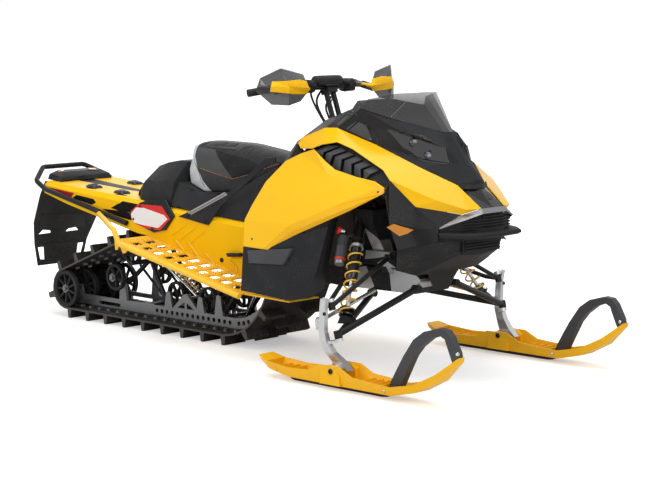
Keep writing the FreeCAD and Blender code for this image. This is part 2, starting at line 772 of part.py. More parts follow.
# Bodywork: corner points as (x, half width, z), shared by the panels that meet there
H1 = (209.0, 29.0, 913.0)
H1c = (212.0, 0.0, 917.0)
H2 = (286.0, 29.0, 841.0)
H2c = (290.0, 0.0, 844.0)
H3 = (286.0, 29.0, 821.0)
H3c = (290.0, 0.0, 823.0)
P0 = (-549.0, 232.0, 970.0)
P1 = (-526.0, 225.0, 997.0)
P2 = (-397.0, 212.0, 1045.0)
P3 = (-332.0, 208.0, 1046.0)
P4 = (-128.0, 185.0, 983.0)
P5 = (122.0, 172.0, 894.0)
P6 = (248.0, 88.0, 824.0)
P7 = (368.0, 76.0, 733.0)
S1 = (-521.0, 242.0, 949.0)
S2 = (-440.0, 252.0, 953.0)
S3 = (-391.0, 254.0, 972.0)
S4 = (-286.0, 256.0, 989.0)
S5 = (-189.0, 262.0, 965.0)
S6 = (9.0, 285.0, 888.0)
S7 = (60.0, 300.0, 848.0)
S8 = (172.0, 265.0, 741.0)
S9 = (319.0, 142.0, 710.0)
X1 = (247.0, 211.0, 767.0)
X2 = (342.0, 140.0, 731.0)
T0 = (-475.0, 285.0, 934.0)
T1 = (-387.0, 295.0, 956.0)
T2 = (-313.0, 298.0, 907.0)
T3 = (-254.0, 303.0, 877.0)
T4 = (-114.0, 318.0, 854.0)
T5 = (6.0, 333.0, 843.0)
T6 = (69.0, 345.0, 822.0)
T7 = (75.0, 352.0, 797.0)
T8 = (-85.0, 395.0, 715.0)
T9 = (-369.0, 430.0, 596.0)
T10 = (-503.0, 443.0, 536.0)
T11 = (-527.0, 443.0, 520.0)
T12 = (-697.0, 430.0, 521.0)
T13 = (-716.0, 402.0, 636.0)
T14 = (-691.0, 378.0, 703.0)
T15 = (-639.0, 342.0, 806.0)
T16 = (-553.0, 303.0, 898.0)
C1 = (-292.0, 318.0, 864.0)
C2 = (-125.0, 345.0, 822.0)
C3 = (53.0, 358.0, 791.0)
B1 = (-189.0, 400.0, 728.0)
B2 = (-375.0, 432.0, 650.0)
D1 = (-382.0, 440.0, 613.0)
D2 = (-75.0, 402.0, 733.0)
X0 = (147.0, 272.0, 815.0)
N1 = (66.0, 334.0, 812.0)
N2 = (88.0, 330.0, 654.0)
N3 = (169.0, 262.0, 654.0)
N4 = (256.0, 215.0, 657.0)
N6 = (120.0, 320.0, 562.0)
N7 = (250.0, 215.0, 598.0)
N8 = (97.0, 300.0, 473.0)
N9 = (110.0, 200.0, 443.0)
G1 = (296.0, 130.0, 600.0)
G2 = (288.0, 125.0, 538.0)
G3 = (297.0, 0.0, 529.0)
G4 = (95.0, 100.0, 437.0)
K0 = (-350.0, 0.0, 1122.0)
K0r = (-334.0, 110.0, 1124.0)
K1 = (-300.0, 0.0, 1162.0)
K1r = (-300.0, 112.0, 1160.0)
K2 = (-500.0, 0.0, 1050.0)
K2r = (-497.0, 110.0, 1069.0)
K3 = (-690.0, 0.0, 955.0)
K3r = (-668.0, 118.0, 968.0)
K4r = (-775.0, 140.0, 835.0)
K5 = (-620.0, 300.0, 800.0)
L1 = (-80.0, 165.0, 1049.0)
L2 = (-2.0, 155.0, 975.0)
L3 = (89.0, 125.0, 926.0)
L4 = (187.0, 72.0, 911.0)
L5 = (169.0, 70.0, 971.0)
L6 = (75.0, 120.0, 1017.0)
L7 = (5.0, 150.0, 1032.0)
W0 = (-195.0, 205.0, 1132.0)
W1 = (-75.0, 150.0, 1093.0)
W2 = (124.0, 28.0, 1033.0)
W2c = (130.0, 0.0, 1033.0)
cap_low = (372.0, 0.0, 734.0)


vent_depth = 24.0
louvre_count = 5


def sunk(p):
    """A point of the vent floor, below the panels' edges."""
    return (p[0], p[1] - vent_depth, p[2] - vent_depth * 0.4)


def between(line, share):
    """Point at a share of a corner line's length."""
    place = share * (len(line) - 1)
    i = min(int(place), len(line) - 2)
    part = place - i
    return tuple(a + (b - a) * part for a, b in zip(line[i], line[i + 1]))


def build_louvres():
    """Curved blades across the side vent, each bowed outwards between its two edges."""
    upper = [S2, S3, S4, S5, S6, S7]
    lower_edge = [T1, T2, T3, T4, T5, T6]
    blades = []
    for i in range(louvre_count):
        start = 0.08 + i * 0.17
        rows = []
        for share in (start, start + 0.10):
            u = between(upper, share)
            w = between(lower_edge, share + 0.02)
            bow = tuple((a + b) / 2 for a, b in zip(u, w))
            bow = (bow[0] - 16, bow[1] + 5, bow[2] + 10)
            rows.append((u, bow, w))
        (u0, b0, w0), (u1, b1, w1) = rows
        blades.append(skin([[right(p) for p in f] for f in ([u0, b0, b1, u1], [b0, w0, w1, b1])],
                           vent_depth + 3, 1.0))
    return both(Part.makeCompound(blades))


def outward(p, distance):
    """The same corner, moved outwards in plan."""
    return (p[0] + distance * 0.6, p[1] + distance * 0.8, p[2])


def build_bodywork():
    hood = [
        [K3, K3r, K2r, K2], [K3r, P0, P1, K2r], [K2, K2r, K0r, K0], [K2r, P1, P2, K0r],
        [K0, K0r, K1r, K1], [K0r, P2, P3, W0], [K0r, W0, K1r], [P3, P4, L1, W0],
        [W0, L1, L7, W1], [L7, L6, W1], [L6, L5, W2, W1], [P4, L2, L1], [P4, P5, L3, L2],
        [P5, P6, L4, L3], [L5, L4, H1, W2], [L4, P6, H2, H1], [W2, H1, H1c, W2c],
        [H1, H2, H2c, H1c], [P6, H3, H2], [H2, H3, H3c, H2c],
        [K1r, W0, W1], [K1, K1r, W1], [K1, W1, W2], [K1, W2, W2c]]
    shell = middle_skin(hood)
    post_hole = Part.makeCylinder(console_hole_radius, post_length + 20, post_foot(), post_axis())
    parts["hood"] = shell.cut(post_hole)
    rear_fill = [sunk(S1), sunk(T0), sunk(T16)]
    parts["knee_panels"] = pair_skin([[K3r, K4r, K5, P0], [P0, K5, rear_fill[2], rear_fill[0]],
                                      [rear_fill[0], rear_fill[2], rear_fill[1]]])
    parts["headlights"] = pair_skin([[L1, L2, L3, L4, L5, L6, L7]], 8.0, 0)
    vent = []
    upper = [sunk(p) for p in (S1, S2, S3, S4, S5, S6, S7)]
    lower_edge = [sunk(p) for p in (T0, T1, T2, T3, T4, T5, T6)]
    for u0, u1, l0, l1 in zip(upper, upper[1:], lower_edge, lower_edge[1:]):
        vent.append([u0, l0, l1, u1])
    parts["vents"] = fuse([pair_skin(vent)] + build_louvres().Solids)
    strip = [
        [P0, S1, P1], [P1, S1, S2], [P1, S2, P2], [P2, S2, S3], [P2, S3, P3], [P3, S3, S4],
        [P3, S4, S5], [P3, S5, P4], [P4, S5, S6], [P4, S6, P5], [P5, S6, S7], [P5, S7, X0],
        [P5, X0, X1], [P5, X1, P6], [P6, X1, X2], [P6, X2, P7], [S7, S8, X0], [X0, S8, X1],
        [X1, S8, S9], [X1, S9, X2], [X2, S9, P7]]
    parts["top_strips"] = pair_skin(strip)
    cap = [(p[0] - cap_depth * 0.6, p[1], p[2] - cap_depth * 0.8) for p in (P6, P7, cap_low, H3c, H3)]
    nose_cap = middle_skin([cap])
    side = [
        [T0, C1, T1], [T16, C1, T0], [T15, C1, T16], [T15, B2, C1], [C1, B2, C2], [C2, B2, B1],
        [C2, B1, C3], [T14, B2, T15], [T13, B2, T14], [T13, D1, B2], [T12, D1, T13],
        [T12, T10, D1], [T12, T11, T10], [B2, D1, D2], [B2, D2, B1], [B1, D2, T7], [B1, T7, C3],
        [T1, C1, T2], [T2, C1, T3], [T3, C1, C2], [T3, C2, T4], [T4, C2, C3], [T4, C3, T5],
        [T5, C3, T6], [T6, C3, T7], [D1, T10, T9], [D1, T9, D2], [D2, T9, T8], [D2, T8, T7]]
    parts["side_panels"] = pair_skin(side)
    low_rear = (-722.0, 425.0, 322.0)
    low_front = (-435.0, 425.0, 308.0)
    wrap_top = (-215.0, 385.0, 640.0)
    wrap_low = (-335.0, 385.0, 320.0)
    inner_top = (-300.0, 230.0, 690.0)
    inner_low = (-400.0, 230.0, 335.0)
    lower = [[T12, low_rear, low_front, T11], [T11, low_front, T10], [T10, low_front, T9],
             [T9, low_front, wrap_low, wrap_top], [wrap_top, wrap_low, inner_low, inner_top]]
    parts["lower_panels"] = pair_skin(lower)
    nose = [[S7, N1, N2, S8], [S8, N2, N3], [S8, N3, N4], [S8, N4, S9],
            [N2, N6, N7, N4, N3]]
    parts["nose_panels"] = Part.makeCompound([pair_skin(nose), nose_cap])
    reflector = [(78.0, 338.0, 657.0), (100.0, 319.0, 671.0), (167.0, 272.0, 647.0),
                 (149.0, 288.0, 632.0), (123.0, 310.0, 621.0)]
    parts["side_reflectors"] = pair_skin([[outward(p, 3.0) for p in reversed(reflector)]], 3.0, 0)
    belly = [[N6, N8, N9, G2, N7], [N7, G2, G1], [N9, G4, G2], [G2, G4, (95.0, 0.0, 437.0), G3],
             [G1, G2, G3, (300.0, 0.0, 600.0)],
             [G4, (80.0, 40.0, 356.0), (80.0, 0.0, 356.0), (95.0, 0.0, 437.0)]]
    parts["belly_pan"] = middle_skin(belly)


def build_nose():
    side_low = (259.0, 214.0, 650.0)
    corner_low = (345.0, 160.0, 688.0)
    front_low = (378.0, 80.0, 712.0)
    middle_low = (386.0, 0.0, 714.0)
    trim = [[N4, side_low, corner_low, S9], [S9, corner_low, front_low, P7],
            [P7, front_low, middle_low, cap_low]]
    parts["grille_trim"] = middle_skin(trim, 6.0)
    bumper_low = 612.0
    bumper_top = bumper_low + 24
    base = bumper_top + seat_gap
    line = ((252.0, 205.0, 650.0), (326.0, 152.0, 686.0), (352.0, 78.0, 706.0), (358.0, 0.0, 708.0))
    wall = [[(a[0], a[1], base), (b[0], b[1], base), b, a] for a, b in zip(line, line[1:])]
    upper = [middle_skin(wall, 6.0, 0)]
    for i, reach in enumerate((196.0, 172.0, 152.0, 118.0, 60.0)):
        z = base + 10.0 + i * 12.0
        edge = [(x + 9, y) for x, y, _ in line if y < reach]
        for (x0, y0, _), (x1, y1, _) in zip(line, line[1:]):
            if y1 < reach <= y0:
                edge.insert(0, (x1 + (x0 - x1) * (reach - y1) / (y0 - y1) + 9, reach))
        fronts = edge + [(x, -y) for x, y in reversed(edge) if y > 0]
        upper.append(plate_z(fronts + [(x - 14, y) for x, y in reversed(fronts)], z, z + 5))
    lower = [box(300.4, 305, -120, 120, 542, 611.7)]
    for i in range(4):
        z = 552.0 + i * 12.0
        lower.append(box(304, 314, -112, 112, z, z + 5))
    parts["grilles"] = Part.makeCompound([fuse(upper), fuse(lower)])
    half = [(262, 222), (350, 186), (404, 140), (416, 0)]
    back = [(268, 120), (276, 0)]
    sections = []
    for z, inset in ((bumper_low, 10), (bumper_low + 8, 0), (bumper_low + 17, 0), (bumper_top, 7)):
        front = [(x - inset, y - inset * 0.6) for x, y in half[:-1]] + [(half[-1][0] - inset, 0)]
        rim = [(x, -y, z) for x, y in front] + [(x, y, z) for x, y in reversed(front[:-1])]
        sections.append(rim + [(x, y, z) for x, y in back[:1] + back[1:] + [(back[0][0], -back[0][1])]])
    parts["front_bumper"] = loft(sections)


def build_windshield():
    top_front = (W2[0] - 142, W2[1] + 24, W2[2] + 166)
    top_centre = (top_front[0] + 6, 0.0, top_front[2] + 1)
    top_rear = (W0[0] + 27, W0[1] - 17, W0[2] + 40)
    top_mid = (W1[0] + 15, W1[1] - 20, W1[2] + 104)
    base_rear = (W0[0], W0[1], W0[2] + 1)
    base_mid = (W1[0], W1[1], W1[2] + 1)
    base_front = (W2[0], W2[1], W2[2] + 1)
    faces = [[base_rear, base_mid, top_mid, top_rear], [base_mid, base_front, top_front, top_mid],
             [base_front, (W2c[0], 0.0, W2c[2] + 1), top_centre, top_front]]
    parts["windshield"] = middle_skin(faces, 4.0)


# Front frame, suspension, steering

def build_front_frame():
    half = frame_half
    rear = tunnel_front_x + seat_gap
    floor = plate_y([(rear, 350), (-420, 340), (30, 346), (62, 400), (50, 425), (-60, 440), (rear, 440)],
                    -half, half)
    flange = box(rear, rear + 9, -tunnel_half_width, tunnel_half_width, 330, 470)
    legs = []
    for side in (-1, 1):
        legs.append(plate_x([(side * 60, 420), (side * half, 420), (side * 235, 650), (side * 235, 706),
                             (side * 190, 706)], -160, -96))
        near, far = sorted((side * 120, side * beam_half))
        legs.append(box(-260, -24, near, far, 462, 524))
    cross = box(-222, -96, -235, 235, 672, 706)
    nose_mount = plate_y([(-100, 436), (0, 436), (62, 428), (100, 442), (200, 487), (200, 530),
                          (-100, 520)], -20, 20)
    frame = fuse([floor, flange, cross, nose_mount] + legs)
    sockets = [strut_room(), mirrored(strut_room())]
    parts["bulkhead"] = frame.cut(Part.makeCompound(sockets))
    foot = post_foot()
    parts["engine"] = box(-560, -265, -180, 180, 440 + seat_gap, foot.z - engine_drop)
    axis = post_axis()
    stub_low = foot - axis * post_stub
    block = Part.makeCylinder(bearing_radius, post_stub - foot_block_half - 1, stub_low, axis)
    tubes = [block]
    for side in (-1, 1):
        tubes.append(rod(stub_low + axis * 16 + V(0, side * 12, 0), (-150, side * 150, 706), 12))
        tubes.append(rod(stub_low + axis * 16 + V(-6, side * 12, 0), (-630, side * 200, 478), 12))
    bore = Part.makeCylinder(post_tube_radius + running_fit, post_stub + 20, stub_low - axis * 10, axis)
    room = Part.makeCompound([cross, flange, parts["engine"], parts["bulkhead"]])
    parts["steering_frame"] = fuse(tubes).cut(bore).cut(room)


def strut_line():
    foot = vec(right(shock_foot))
    along = vec(right(shock_top)) - foot
    length = along.Length
    return foot, along.normalize(), length


def strut_room():
    """The room that the spring leg takes in what holds it, with its seat gap."""
    foot, along, length = strut_line()
    return Part.makeCylinder(shock_body_radius + seat_gap, length * 0.6 + seat_gap,
                             foot + along * (length * 0.4), along)


def build_arm(front, rear, inner_y, end, joint, radius, housing):
    """Two tubes from their pivots on the frame, joined near the ball joint's housing."""
    pieces = [housing, rod(joint, end, radius)]
    for pivot, outer in ((front, end), (rear, joint)):
        inner = V(pivot[0], -inner_y, pivot[1])
        pieces.append(rod(inner, outer, radius))
        half = arm_pivot_length / 2
        pieces.append(rod((pivot[0] - half, -inner_y, pivot[1]), (pivot[0] + half, -inner_y, pivot[1]),
                          radius + 2))
    return pieces


def build_suspension():
    """Twin-tube arms and the spring legs between the frame and the lower arms."""
    ball_low = V(kingpin_low[0], -kingpin_low[1], kingpin_low[2])
    ball_high = V(kingpin_high[0], -kingpin_high[1], kingpin_high[2])
    axis = (ball_high - ball_low).normalize()
    foot, along, length = strut_line()
    height = ball_housing_height
    housing = Part.makeCylinder(ball_housing_radius, height, ball_low, axis)
    inner_y = frame_half + seat_gap + arm_tube_radius + 2
    end = ball_low + axis * (height / 2)
    pieces = build_arm(lower_front_pivot, lower_rear_pivot, inner_y, end, end + V(-4, 24, 8),
                       arm_tube_radius, housing)
    bracket = plate_y([(-96, 250), (2, 258), (-24, 278), (-44, 288), (-78, 286)],
                      -shock_foot[1] - 16, -shock_foot[1] + 16)
    stem_room = Part.makeCylinder(shock_rod_radius + seat_gap, length, foot - along * seat_gap, along)
    parts["lower_arms"] = both(fuse(pieces + [bracket]).cut(stem_room))
    housing = Part.makeCylinder(ball_housing_radius - 2, height, ball_high, axis * -1)
    inner_y = beam_half + seat_gap + upper_arm_radius + 2
    end = ball_high - axis * (height / 2)
    pieces = build_arm(upper_front_pivot, upper_rear_pivot, inner_y, end, end + V(-46, 35, 8),
                       upper_arm_radius, housing)
    parts["upper_arms"] = both(fuse(pieces))
    stem = Part.makeCylinder(shock_rod_radius, length * 0.45, foot, along)
    body = Part.makeCylinder(shock_body_radius, length * 0.58, foot + along * (length * 0.42), along)
    perch_at = 27.0
    perch = Part.makeCylinder(front_spring_radius + 4, 6, foot + along * perch_at, along)
    collar_at = length * 0.73
    collar = Part.makeCylinder(front_spring_radius + 3, 12, foot + along * collar_at, along)
    can_top = vec(right(reservoir_top))
    can = Part.makeCylinder(reservoir_radius, reservoir_length, can_top, along * -1)
    knob = Part.makeCylinder(reservoir_radius * 0.6, 16, can_top, along)
    side_port = can_top - along * 10
    bridge = rod(side_port, foot + along * ((side_port - foot).dot(along) + 14), 11)
    parts["front_shocks"] = both(fuse([stem, body, perch, collar, can, knob, bridge]))
    spring_base = perch_at + 6 + seat_gap
    parts["front_springs"] = both(coil(foot + along * spring_base, along, front_spring_radius,
                                       front_spring_wire, front_spring_turns,
                                       collar_at - seat_gap - spring_base))


def coil(base, axis, radius, wire, turns, length):
    """A coil spring with a square-cut section, lofted through stations round its turns."""
    steps = 10 * turns
    side = V(0, 1, 0).cross(axis).normalize()
    other = axis.cross(side).normalize()
    sections = []
    half = wire / 2
    for i in range(steps + 1):
        angle = 2 * math.pi * i / 10
        out = side * math.cos(angle) + other * math.sin(angle)
        centre = base + axis * (half + (length - wire) * i / steps) + out * radius
        corners = [centre + out * half + axis * half, centre - out * half + axis * half,
                   centre - out * half - axis * half, centre + out * half - axis * half]
        sections.append(corners)
    return loft(sections)


def build_leg(side):
    """Casting from the upper ball joint to the ski bolt, with its steering arm."""
    low = V(kingpin_low[0], side * kingpin_low[1], kingpin_low[2])
    high = V(kingpin_high[0], side * kingpin_high[1], kingpin_high[2])
    axis = kingpin_axis(side)
    top_lug = Part.makeCylinder(lug_radius, lug_thickness, high + axis * seat_gap, axis)
    low_lug = Part.makeCylinder(lug_radius, lug_thickness, low - axis * (seat_gap + lug_thickness), axis)

    def section(x, y, z, fore, across):
        y = side * y
        return [(x - fore, y - across, z), (x + fore, y - across, z), (x + fore, y + across, z),
                (x - fore, y + across, z)]

    stations = ((-54.0, column_y + 2, 372.0, 15, 10), (-62.0, column_y, 330.0, 15, 10),
                (-66.0, column_y, 240.0, 17, 11), (-60.0, column_y - 4, 196.0, 19, 13),
                (-34.0, column_y - 14, 150.0, 22, 15), (2.0, ski_y, 112.0, 30, 17),
                (22.0, ski_y, 82.0, 42, 17))
    column = loft([section(*s) for s in stations])
    lift = axis * (seat_gap + lug_thickness / 2)
    top_web = web(high + lift, V(-56, side * column_y, (high + lift).z + 8), lug_radius * 0.8)
    low_web = web(low - lift, V(-52, side * (column_y - 6), (low - lift).z - 12), lug_radius * 0.8)
    hub = cross_bar(0, ski_bolt_height, side * ski_y - 30, side * ski_y + 30, 22)
    bore = cross_bar(0, ski_bolt_height, side * ski_y - 60, side * ski_y + 60,
                     ski_bolt_radius + running_fit)
    knob = knob_place(side)
    arm = plate_z([(-62, side * column_y - 11), (-62, side * column_y + 11), (knob.x, knob.y + 11),
                   (knob.x - 11, knob.y), (knob.x, knob.y - 11)], knob.z - 8, knob.z + 8)
    boss = Part.makeCylinder(knob_radius, knob_boss_top + 10, knob - axis * 10, axis)
    pin_length = knob_boss_top + rod_eye_length + 2 * seat_gap + rod_nut_height
    pin = Part.makeCylinder(rod_pin_radius, pin_length, knob, axis)
    nut_low = knob + axis * (pin_length - rod_nut_height)
    nut = Part.makeCylinder(knob_radius - 4, rod_nut_height, nut_low, axis)
    return fuse([column, top_lug, low_lug, top_web, low_web, hub, arm, boss, pin, nut]).cut(bore)


def kingpin_axis(side):
    """The line through the leg's two ball joints, about which it steers."""
    low = V(kingpin_low[0], side * kingpin_low[1], kingpin_low[2])
    high = V(kingpin_high[0], side * kingpin_high[1], kingpin_high[2])
    return (high - low).normalize()


def knob_place(side):
    """The tie rod's joint on the leg's steering arm."""
    return V(kingpin_low[0] - knob_back, side * kingpin_low[1], kingpin_low[2] + knob_rise)


def web(start, end, half):
    """A web of a casting between two places, thickening from 6 to 14 mm."""
    flat = V(end.x - start.x, end.y - start.y, 0).normalize()
    across = V(-flat.y, flat.x, 0) * half
    thin = V(0, 0, 3)
    thick = V(0, 0, 7)
    return loft([[start + across - thin, start - across - thin, start - across + thin,
                  start + across + thin],
                 [end + across - thick, end - across - thick, end - across + thick,
                  end + across + thick]])


def build_ski(side):
    """Moulded trough ski with a raised nose and tail, from cross sections along its length."""
    y = side * ski_y
    half = ski_half_width
    floor = ski_floor_height
    stations = (
        (ski_tail_x, 72.0, 94.0, half * 0.62), (-380.0, 40.0, 76.0, half * 0.86),
        (-250.0, floor, 66.0, half), (-120.0, floor, 72.0, half), (-60.0, floor, 104.0, half),
        (60.0, floor, 104.0, half), (130.0, floor, 72.0, half), (330.0, floor, 60.0, half),
        (450.0, 50.0, 84.0, half * 0.92), (560.0, 106.0, 138.0, half * 0.74),
        (ski_tip_x, ski_tip_height - 18, ski_tip_height, half * 0.3))
    wall = ski_wall
    outer = []
    inner = []
    for x, low, high, wide in stations:
        keel_wide = wide * 0.72
        outer.append([(x, y - wide, high), (x, y - keel_wide, low), (x, y + keel_wide, low),
                      (x, y + wide, high)])
        inner.append([(x, y - wide + wall, high + 0.5), (x, y - keel_wide + wall, low + wall),
                      (x, y + keel_wide - wall, low + wall), (x, y + wide - wall, high + 0.5)])
    ski = loft(outer).cut(loft(inner[1:-1]))
    pieces = [ski]
    cheek_in = 34 + 2.0
    for edge in (-1, 1):
        near, far = sorted((y + edge * cheek_in, y + edge * (half - 4)))
        pieces.append(plate_y([(-52, 84), (-26, 102), (26, 102), (52, 84), (58, floor + 2),
                               (-58, floor + 2)], near, far))
    for x in (-330.0, -290.0, -250.0, 150.0, 190.0, 230.0, 268.0):
        low = floor + 2
        if x < -260:
            low = floor + 2 + (-260 - x) * 0.14
        pieces.append(plate_x([(y - half * 0.72, low), (y + half * 0.72, low), (y + half * 0.86, 58),
                               (y - half * 0.86, 58)], x, x + 5))
    pieces.append(cross_bar(0, ski_bolt_height, y - 54, y + 54, ski_bolt_radius))
    ski = fuse(pieces)
    keel = plate_y([(-300, floor - seat_gap), (-280, 4), (-260, 0), (240, 0), (270, 4),
                    (310, floor - seat_gap)], y - keel_width / 2, y + keel_width / 2)
    return ski, keel


def build_loop(side, room):
    """Flat moulded grab loop, from the trough up over the nose and down to the tip."""
    y = side * ski_y
    half = loop_width / 2 + room
    foot = ski_floor_height + ski_wall + seat_gap
    outside = [(280, foot), (303, 78), (334, 130), (366, 182), (421, 257), (476, 295), (550, 316),
               (590, 312), (613, 290), (646, 229), (652, 196)]
    inside = [(626, 186), (618, 200), (606, 226), (584, 276), (560, 288), (510, 270), (456, 230),
              (421, 189), (373, 100), (336, foot)]
    return plate_y(outside + inside, y - half, y + half)


def build_steering():
    for name, side in (("right", -1), ("left", 1)):
        parts["leg_" + name] = build_leg(side)
        ski, keel = build_ski(side)
        loop = build_loop(side, 0)
        parts["ski_" + name] = ski.cut(build_loop(side, seat_gap))
        parts["ski_keel_" + name] = keel
        parts["ski_loop_" + name] = loop
        knob = knob_place(side)
        axis = kingpin_axis(side)
        eye_low = knob + axis * (knob_boss_top + seat_gap)
        eye = Part.makeCylinder(knob_radius, rod_eye_length, eye_low, axis)
        inner_end = (tie_rod_inner[0], side * tie_rod_inner[1], tie_rod_inner[2])
        bar = rod(eye_low + axis * (rod_eye_length / 2), inner_end, tie_rod_radius - 0.5)
        bore = Part.makeCylinder(rod_pin_radius + running_fit, rod_eye_length + 30, eye_low - axis * 15, axis)
        nut_room = Part.makeCylinder(knob_radius, 20, eye_low + axis * rod_eye_length, axis)
        parts["tie_rod_" + name] = fuse([eye, bar]).cut(bore).cut(nut_room)


def build_handlebar():
    axis = post_axis()
    foot = post_foot()
    top = V(bar_x, 0, bar_height)
    pieces = []
    for y in (-post_tube_spread / 2, post_tube_spread / 2):
        offset = V(0, y, 0)
        pieces.append(Part.makeCylinder(post_tube_radius, post_length - 16, foot + offset, axis))
    pieces.append(Part.makeCylinder(post_tube_radius, post_stub, foot - axis * post_stub, axis))
    across = post_tube_spread / 2 + 8
    block = box(-24, 24, -across, across, -30, 18)
    block.rotate(V(0, 0, 0), V(0, 1, 0), -post_tilt)
    block.translate(top)
    foot_block = box(-14, 14, -across + 4, across - 4, -foot_block_half, foot_block_half)
    foot_block.rotate(V(0, 0, 0), V(0, 1, 0), -post_tilt)
    foot_block.translate(foot)
    clamp_hole = cross_bar(top.x, top.z, -80, 80, bar_radius + running_fit)
    parts["steering_post"] = fuse(pieces + [block, foot_block]).cut(clamp_hole)
    shoulder = (top.x - 14, 196.0, top.z + 16)
    end = (top.x - bar_sweep, bar_half_width, top.z - bar_drop)
    bar = pipe([(end[0], -end[1], end[2]), (shoulder[0], -shoulder[1], shoulder[2]),
                (top.x, -100, top.z), (top.x, 100, top.z), shoulder, end], bar_radius, 40)
    parts["handlebar"] = bar
    way = (V(*end) - V(*shoulder)).normalize()
    grip_base = V(*end) - way * grip_length
    grip = Part.makeCylinder(grip_radius, grip_length + 6, grip_base, way)
    grip = grip.cut(Part.makeCylinder(bar_radius + seat_gap, grip_length + seat_gap, grip_base, way))
    parts["grips"] = both(grip)
    guard = [(top.x + x, y, top.z + z) for x, y, z in guard_outline]
    crest_in, crest_mid, crest_out = [(top.x + x, y, top.z + z) for x, y, z in guard_crest]
    faces = [[guard[0], crest_in, guard[1]], [guard[1], crest_in, crest_mid, guard[2]],
             [guard[2], crest_mid, crest_out, guard[3]], [guard[3], crest_out, guard[4]],
             [guard[4], crest_out, guard[5]], [guard[5], crest_out, crest_mid, guard[6]],
             [guard[6], crest_mid, guard[7]], [guard[7], crest_mid, crest_in, guard[8]],
             [guard[8], crest_in, guard[0]]]
    shell = pair_skin([[p for p in reversed(f)] for f in faces], guard_wall, 0)
    root = V(top.x, 100, top.z)
    run = (V(*shoulder) - root).normalize()
    clamp_at = root + run * 72
    clamp = Part.makeCylinder(bar_radius + 7, 18, clamp_at, run)
    clamp = clamp.cut(Part.makeCylinder(bar_radius + seat_gap, 30, clamp_at - run * 6, run))
    stay = rod(clamp_at + run * 9 + V(bar_radius + 5, 0, 0), (top.x + 82, 206, top.z), 6)
    near = min(shell.Solids, key=lambda s: -s.CenterOfMass.y)
    parts["handguards"] = both(fuse([near, clamp, stay]))
    pad = loft([[(top.x - 34, -78, top.z + 8), (top.x + 26, -78, top.z + 8), (top.x + 26, 78, top.z + 8),
                 (top.x - 34, 78, top.z + 8)],
                [(top.x - 24, -70, top.z + 44), (top.x + 14, -70, top.z + 44), (top.x + 14, 70, top.z + 44),
                 (top.x - 24, 70, top.z + 44)]])
    switch = box(top.x - 42, top.x + 22, 104, 160, top.z - 22, top.z + 36)
    hole = pipe([(end[0], -end[1], end[2]), (shoulder[0], -shoulder[1], shoulder[2]),
                 (top.x, -100, top.z), (top.x, 100, top.z), shoulder, end], bar_radius + seat_gap, 40)
    parts["controls"] = Part.makeCompound([both(switch).cut(hole), pad.cut(block).cut(hole)])


build_track()
build_skid()
build_wheels()
build_skid_arms()
build_tunnel()
build_rear()
build_seat()
build_bodywork()
build_nose()
build_windshield()
build_front_frame()
build_suspension()
build_steering()
build_handlebar()

# Where moulded panels meet, one gives way to the other; slivers left behind are dropped
for name, others in (("top_strips", ["hood"]), ("knee_panels", ["hood", "top_strips", "side_panels"]),
                     ("headlights", ["hood"]), ("windshield", ["hood"]),
                     ("nose_panels", ["top_strips"]),
                     ("vents", ["side_panels", "top_strips", "nose_panels", "knee_panels"]),
                     ("belly_pan", ["nose_panels"]), ("side_reflectors", ["nose_panels"]),
                     ("grille_trim", ["nose_panels", "top_strips"]),
                     ("tail_lenses", ["tail_light"]), ("bulkhead", ["belly_pan"]),
                     ("lower_panels", ["side_panels"]), ("controls", ["handguards"])):
    left_over = parts[name].cut(Part.makeCompound([parts[other] for other in others]))
    parts[name] = Part.makeCompound([s for s in left_over.Solids if s.Volume > sliver_volume])

whole = Part.makeCompound(list(parts.values()))
limits = whole.BoundBox
shift = V(-(limits.XMin + limits.XMax) / 2, 0, -limits.ZMin)
os.makedirs("parts", exist_ok=True)
for name, shape in parts.items():
    shape.translate(shift)
    shape.exportStep("parts/" + name + ".step")
    if not shape.isValid():
        print("not valid:", name)
print("shift", round(shift.x, 3), round(shift.z, 3))
print("nodes", len(parts), "solids", sum(len(s.Solids) for s in parts.values()))
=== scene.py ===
"""The look of a mountain snowmobile, built around its packed construction model."""

import json
import math

import bpy
from mathutils import Matrix, Vector
from mathutils.bvhtree import BVHTree

